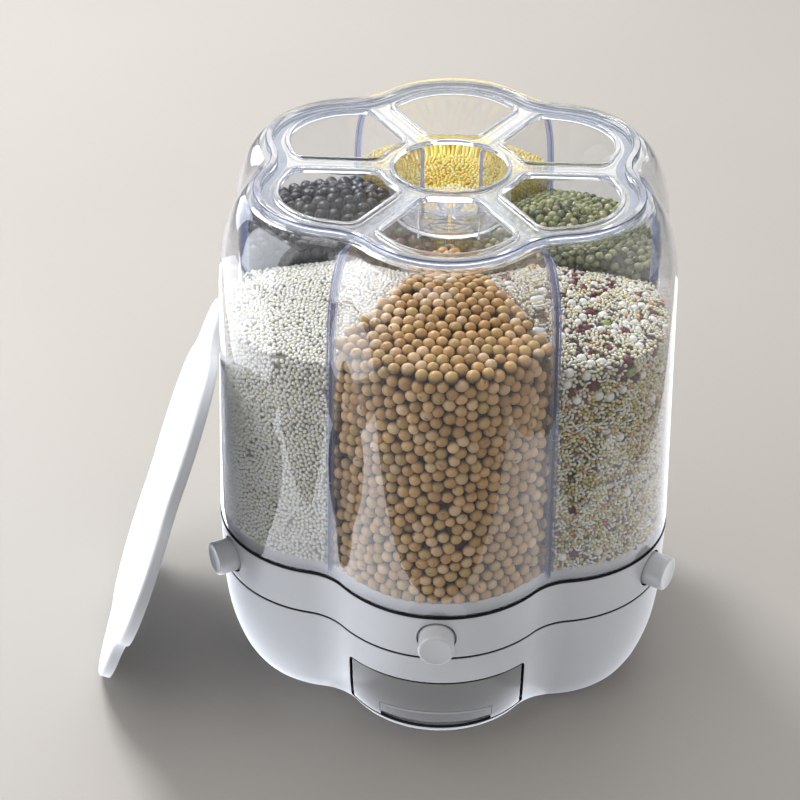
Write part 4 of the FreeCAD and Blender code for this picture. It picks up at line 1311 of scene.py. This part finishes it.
def core(name, heap, thick, mat):
    """Dark filling behind the outer layer, so that no light shows through it. Its colour is painted shade: a darkened
    tone of the grains, standing in for the shade inside the heap.
    """
    b = Build()
    ang = np.linspace(0, 2 * math.pi, 73)[:-1]
    cs, sn = np.cos(ang), np.sin(ang)
    P = []
    mid = 72.0
    levels = [FLOOR_Z + 0.2, 110, 140, 170, 190, 200, 206, 212, 218, 224, 230, 236, 242, 248]
    for z in levels:
        lo, hi = np.zeros(len(ang)), np.full(len(ang), 80.0)
        steps = np.linspace(0, 80, 161)
        done = np.zeros(len(ang), bool)

        def inside(s):
            p = np.stack([mid + cs * s, sn * s, np.full(len(ang), z)], 1)
            return (wall_dist(p)[0] > thick) & (vane_dist(p)[0] > thick * 0.9)
        for s0, s1 in zip(steps[:-1], steps[1:]):
            ins = inside(np.full(len(ang), s1))
            hit = (~ins) & (~done)
            lo, hi = np.where(hit, s0, lo), np.where(hit, s1, hi)
            done |= hit
        for _ in range(20):
            m = (lo + hi) / 2
            ins = inside(m)
            lo, hi = np.where(ins, m, lo), np.where(ins, hi, m)
        x, y = mid + cs * lo, sn * lo
        zz = np.minimum(z, heap.top(x, y) - thick)
        P.append(np.stack([x, y, zz], 1))
    top = P[-1]
    for s in (0.8, 0.55, 0.3, 0.1, 0.001):
        x, y = mid + (top[:, 0] - mid) * s, top[:, 1] * s
        P.append(np.stack([x, y, np.minimum(248, heap.top(x, y) - thick)], 1))
    bot = P[0]
    P = [np.stack([mid + (bot[:, 0] - mid) * s, bot[:, 1] * s, bot[:, 2]], 1) for s in (0.001, 0.5)] + P
    b.grid(P)
    return b.make(name, [mat], "turret", (), None, place=lobed_place(heap.az))


def flat_axis(rng, heap, p, r, amount=0.8):
    """Long axes that mostly lie along the wall or the heap's surface."""
    d, g = depth_of(heap, p, 195.0)
    a = rng.normal(size=(len(p), 3))
    near = (d < r * 1.6)[:, None]
    along = a - g * (a * g).sum(1)[:, None] * amount
    return np.where(near, along, a)


def shaded(heap, p, r, amount):
    """Painted shade: grains behind the outermost ones get darker, duller tints, standing in for the shade deeper in the
    heap.
    """
    d = depth_of(heap, p, 195.0)[0]
    return 1.0 - amount * np.clip((d / r - 1.3) / 0.8, 0.0, 1.0)[:, None]


def stretch(rng, n, base, jitter):
    return np.asarray(base)[None] * (1 + jitter * rng.normal(size=(n, 3)))


M_SOY = grain_material("soybeans", (0.38, 0.5), spot=(0.30, 0.17, 0.07), vary=0.10, fine=500.0, bump=0.08, spec=0.35)
M_RICE = grain_material("rice", (0.35, 0.5), vary=0.08, fine=1200.0, bump=0.05)
M_MIXED = grain_material("mixed_grains", (0.35, 0.5), vary=0.12, fine=1200.0, bump=0.08)
M_MUNG = grain_material("mung_beans", (0.32, 0.45), spot=(0.80, 0.80, 0.70), vary=0.2, fine=900.0, bump=0.08, spec=0.30)
M_MILLET = grain_material("millet", (0.4, 0.55), vary=0.12, fine=1500.0, bump=0.05)
M_BLACK = grain_material("black_soybeans", (0.30, 0.42), spot=(0.10, 0.10, 0.11), vary=0.3, fine=600.0, bump=0.10, spec=0.32)

BALL3, BALL2, BALL1 = ball(3), ball(2), ball(1)


def soybeans():
    h = Heap(-90, 242.5, 11.0, 43.0, 0.80)
    p, r, rng = pack(h, 3.2, 9.6, 11, rounds=45, share=0.60, sizes=lambda g, n: 1 + 0.05 * g.normal(size=n))
    n = len(p)
    t = tints(rng, n, [(0.55, 0.32, 0.11), (0.61, 0.37, 0.15), (0.48, 0.27, 0.09), (0.68, 0.46, 0.24), (0.54, 0.35, 0.12)], 0.08) * shaded(h, p, r, 0.86)
    st, ro = stretch(rng, n, (1.06, 0.98, 0.97), 0.02), rotations(rng, n)
    near = depth_of(h, p, 195.0)[0] < 1.5 * r
    g = [(p[k], r[k] * 0.99, tpl, st[k], ro[k], t[k], 0) for k, tpl in ((near, BALL3), (~near, BALL2))]
    grains("contents_soybeans", h, g, [M_SOY])
    # core colour is painted shade: a darkened soybean tone for the shade inside the heap
    core("contents_soybeans_core", h, 7.4, moulded("soybean_core", (0.018, 0.010, 0.005), (0.030, 0.017, 0.008), (0.8, 0.9), 0.1))


def rice():
    h = Heap(210, 228.5, 12.0, 46.0, 0.34)
    p, r, rng = pack(h, 1.2, 3.7, 12, rounds=26, share=0.58, sizes=lambda g, n: 1 + 0.07 * g.normal(size=n), settle=0.45)
    n = len(p)
    t = tints(rng, n, [(0.92, 0.90, 0.78), (0.94, 0.92, 0.83), (0.88, 0.85, 0.70), (0.93, 0.92, 0.86)], 0.04) * shaded(h, p, r, 0.38)
    g = [(p, r * 1.08, BALL1, stretch(rng, n, (1.20, 0.95, 0.93), 0.05), rotations(rng, n, flat_axis(rng, h, p, r)), t, 0)]
    grains("contents_glutinous_rice", h, g, [M_RICE])
    # core colour is painted shade: a darkened rice tone for the shade inside the heap
    core("contents_glutinous_rice_core", h, 2.6, moulded("rice_core", (0.34, 0.32, 0.24), (0.42, 0.40, 0.31), (0.8, 0.9), 0.1))


def mixed():
    h = Heap(-30, 229.0, 13.0, 50.0, 0.45)
    # larger beans: a loose layer on top, few against the wall
    q, qr, rng2 = pack(h, 2.95, 4.8, 14, rounds=25, share=0.50, sizes=lambda g, n: 1 + 0.10 * g.normal(size=n))
    below = h.top(q[:, 0], q[:, 1]) - q[:, 2]
    keep = rng2.random(len(q)) < np.where(below < 9.0, 0.74, np.where(below < 22.0, 0.66, 0.12))
    q, qr = q[keep], qr[keep]
    m = len(q)
    kind = rng2.choice(6, m, p=[0.50, 0.23, 0.11, 0.07, 0.03, 0.06])
    hue = np.array([(0.90, 0.89, 0.83), (0.13, 0.015, 0.03), (0.74, 0.62, 0.46), (0.85, 0.26, 0.05), (0.28, 0.34, 0.12), (0.05, 0.02, 0.03)])
    shape = np.array([(1.0, 1.0, 1.0), (1.22, 0.92, 0.88), (1.30, 0.86, 0.66), (1.0, 0.95, 0.5), (1.1, 1.0, 0.95), (1.25, 0.9, 0.8)])
    size = np.array([1.0, 0.98, 0.95, 0.72, 1.15, 0.8])
    tq = np.clip(hue[kind] * (1 + 0.06 * rng2.normal(size=(m, 1))), 0, 0.95)
    qr = qr * size[kind]
    big = (q, qr, BALL2, shape[kind] * (1 + 0.03 * rng2.normal(size=(m, 3))), rotations(rng2, m, flat_axis(rng2, h, q, qr, 0.7)), tq, 0)
    # fine grains between them
    p, r, rng = pack(h, 1.05, 3.2, 13, rounds=14, share=0.58, sizes=lambda g, n: 1 + 0.08 * g.normal(size=n))
    clear_of = np.ones(len(p), bool)
    for c, rad in zip(q, qr):
        clear_of &= ((p - c) ** 2).sum(1) > (rad * 1.10) ** 2
    p, r = p[clear_of], r[clear_of]
    n = len(p)
    kf = rng.choice(6, n, p=[0.34, 0.24, 0.22, 0.04, 0.06, 0.10])
    upper = (h.top(p[:, 0], p[:, 1]) - p[:, 2]) < 10.0
    kf = np.where(upper & (kf == 0), np.where(rng.random(n) < 0.5, 1, 5), kf)
    hf = np.array([(0.70, 0.58, 0.20), (0.84, 0.80, 0.60), (0.90, 0.89, 0.84), (0.80, 0.30, 0.08), (0.18, 0.11, 0.12), (0.90, 0.84, 0.56)])
    sf = np.array([(1.0, 1.0, 0.95), (1.1, 1.0, 0.95), (1.75, 0.72, 0.68), (1.15, 1.1, 0.6), (1.1, 1.0, 0.9), (1.2, 1.05, 0.9)])
    tf = np.clip(hf[kf] * (1 + 0.06 * rng.normal(size=(n, 1))), 0, 0.95) * shaded(h, p, r, 0.5)
    fine = (p, r * 1.04, BALL1, sf[kf] * (1 + 0.05 * rng.normal(size=(n, 3))), rotations(rng, n, flat_axis(rng, h, p, r, 0.6)), tf, 0)
    grains("contents_mixed_grains", h, [fine, big], [M_MIXED])
    # core colour is painted shade: a darkened grain tone for the shade inside the heap
    core("contents_mixed_grains_core", h, 2.4, moulded("mixed_core", (0.12, 0.10, 0.06), (0.18, 0.15, 0.09), (0.8, 0.9), 0.1))


def mung():
    h = Heap(30, 241.0, 21.0, crease_shade=0.75)
    p, r, rng = pack(h, 2.45, 6.4, 15, rounds=25, sizes=lambda g, n: 1 + 0.05 * g.normal(size=n))
    n = len(p)
    t = tints(rng, n, [(0.19, 0.22, 0.06), (0.26, 0.28, 0.09), (0.14, 0.17, 0.05), (0.36, 0.36, 0.16), (0.08, 0.10, 0.035)], 0.10) * shaded(h, p, r, 0.7)
    g = [(p, r, BALL2, stretch(rng, n, (1.14, 0.95, 0.93), 0.03), rotations(rng, n), t, 0)]
    grains("contents_mung_beans", h, g, [M_MUNG])
    # core colour is painted shade: a darkened mung tone for the shade inside the heap
    core("contents_mung_beans_core", h, 5.0, moulded("mung_core", (0.02, 0.025, 0.012), (0.04, 0.045, 0.02), (0.8, 0.9), 0.1))


def millet():
    h = Heap(90, 246.0, 10.0, crease_shade=0.28)
    p, r, rng = pack(h, 1.15, 2.9, 16, rounds=20, share=0.58, vane_z=215.0, sizes=lambda g, n: 1 + 0.07 * g.normal(size=n), settle=0.4)
    n = len(p)
    t = tints(rng, n, [(0.94, 0.70, 0.07), (0.95, 0.76, 0.12), (0.92, 0.62, 0.05), (0.95, 0.84, 0.34)], 0.06)
    g = [(p, r * 1.04, BALL1, stretch(rng, n, (1.08, 0.98, 0.95), 0.05), rotations(rng, n), t, 0)]
    grains("contents_millet", h, g, [M_MILLET])
    # core colour is painted shade: a darkened millet tone for the shade inside the heap
    core("contents_millet_core", h, 1.8, moulded("millet_core", (0.55, 0.34, 0.04), (0.66, 0.42, 0.06), (0.8, 0.9), 0.1))


def black():
    h = Heap(150, 245.0, 20.0, crease_shade=0.7)
    p, r, rng = pack(h, 3.9, 11.0, 17, rounds=40, sizes=lambda g, n: 1 + 0.06 * g.normal(size=n))
    n = len(p)
    t = tints(rng, n, [(0.008, 0.008, 0.012), (0.014, 0.014, 0.020), (0.006, 0.006, 0.009), (0.020, 0.018, 0.022)], 0.15) * shaded(h, p, r, 0.6)
    g = [(p, r * 0.99, BALL2, stretch(rng, n, (1.14, 0.96, 0.90), 0.03), rotations(rng, n), t, 0)]
    grains("contents_black_soybeans", h, g, [M_BLACK])
    # core colour is painted shade: a darker black for the shade inside the heap
    core("contents_black_soybeans_core", h, 8.6, moulded("black_core", (0.004, 0.004, 0.006), (0.008, 0.008, 0.010), (0.8, 0.9), 0.1))


soybeans()
rice()
mixed()
mung()
millet()
black()

# ============================================================================ floor and light
fl = bpy.data.meshes.new("floor")
s = 6.0
fl.from_pydata([(-s, -s, 0), (s, -s, 0), (s, s, 0), (-s, s, 0)], [], [(0, 1, 2, 3)])
floor = bpy.data.objects.new("floor", fl)
fm, fnt, fout = tree("pale_floor")
fp = fnt.nodes.new("ShaderNodeBsdfPrincipled")
fp.inputs["Roughness"].default_value = 0.55
fp.inputs["Specular IOR Level"].default_value = 0.3
fvec = coords(fnt)
fnz = noise(fnt, fvec, 3.0, 2.0, 0.5)
fnt.links.new(ramp(fnt, fnz.outputs["Fac"], [(0.3, (0.385, 0.364, 0.340)), (0.7, (0.402, 0.380, 0.355))]), fp.inputs["Base Color"])
fnt.links.new(fp.outputs["BSDF"], fout.inputs["Surface"])
fl.materials.append(fm)
bpy.context.scene.collection.objects.link(floor)


def area(name, at, to, size, radiance, colour=(1, 1, 1), only_mirrored=False):
    L = bpy.data.lights.new(name, "AREA")
    L.shape, L.size, L.size_y, L.color = "RECTANGLE", size[0], size[1], colour
    L.energy = radiance * math.pi * size[0] * size[1]
    o = bpy.data.objects.new(name, L)
    o.location = at
    o.rotation_euler = (Vector(to) - Vector(at)).to_track_quat("-Z", "Y").to_euler()
    bpy.context.scene.collection.objects.link(o)
    o.visible_camera = False
    if only_mirrored:
        o.visible_diffuse = False
        o.visible_transmission = False
        o.visible_volume_scatter = False
    return o


area("key_left_back", (-0.85, 1.30, 1.60), (0, 0, 0.1), (0.70, 0.65), 27.5, (1.0, 0.985, 0.965))
area("tent_left", (-1.15, -0.35, 0.62), (0, -0.1, 0.35), (1.2, 1.2), 1.5, (1.0, 1.0, 1.0))
area("tent_right", (1.15, -0.20, 0.62), (0, -0.1, 0.35), (1.2, 1.2), 0.8, (1.0, 0.95, 0.88))
area("back_panel", (0.2, 2.3, 1.5), (0, 0, 0.3), (3.0, 1.4), 2.0, (0.98, 0.99, 1.0))
area("soft_top", (-0.2, 0.1, 2.2), (0, 0, 0.1), (1.6, 1.2), 2.2, (1.0, 1.0, 1.0))
area("soft_front", (-0.3, -2.0, 1.7), (0, 0, 0.15), (1.4, 0.8), 0.95, (1.0, 1.0, 1.0))
# the white table round the object, mirrored in the walls; it ends a little in front of the object
area("table_mirrored_0", (-0.81, 0.05, 0.0008), (-0.81, 0.05, 1.0), (0.78, 0.70), 3.2, (0.90, 0.95, 1.05), True)
area("window_left", (-0.90, -0.20, 0.45), (0, 0, 0.24), (0.7, 0.8), 5.0, (0.92, 0.97, 1.06), True)
area("window_left_back", (-1.00, 0.85, 0.55), (0, 0, 0.24), (0.7, 0.7), 5.0, (0.92, 0.97, 1.06), True)
for k, (x0, x1, radiance) in enumerate([(-0.35, -0.06, 3.5), (-0.06, 0.06, 2.4), (0.06, 0.35, 1.4)], 1):
    area("table_mirrored_%d" % k, ((x0 + x1) / 2, 0.055, 0.0008), ((x0 + x1) / 2, 0.055, 1.0), (x1 - x0, 0.66), radiance, (0.90, 0.95, 1.05), True)
world = bpy.data.worlds.new("studio")
world.use_nodes = True
bg = world.node_tree.nodes["Background"]
bg.inputs["Color"].default_value = (0.93, 0.94, 0.96, 1.0)
bg.inputs["Strength"].default_value = 0.30
bpy.context.scene.world = world
sc = bpy.context.scene
sc.view_settings.view_transform = "Standard"
sc.view_settings.look = "None"
sc.cycles.transparent_max_bounces = 40
sc.cycles.max_bounces = 32
sc.cycles.glossy_bounces = 16
sc.cycles.transmission_bounces = 24
sc.cycles.diffuse_bounces = 4
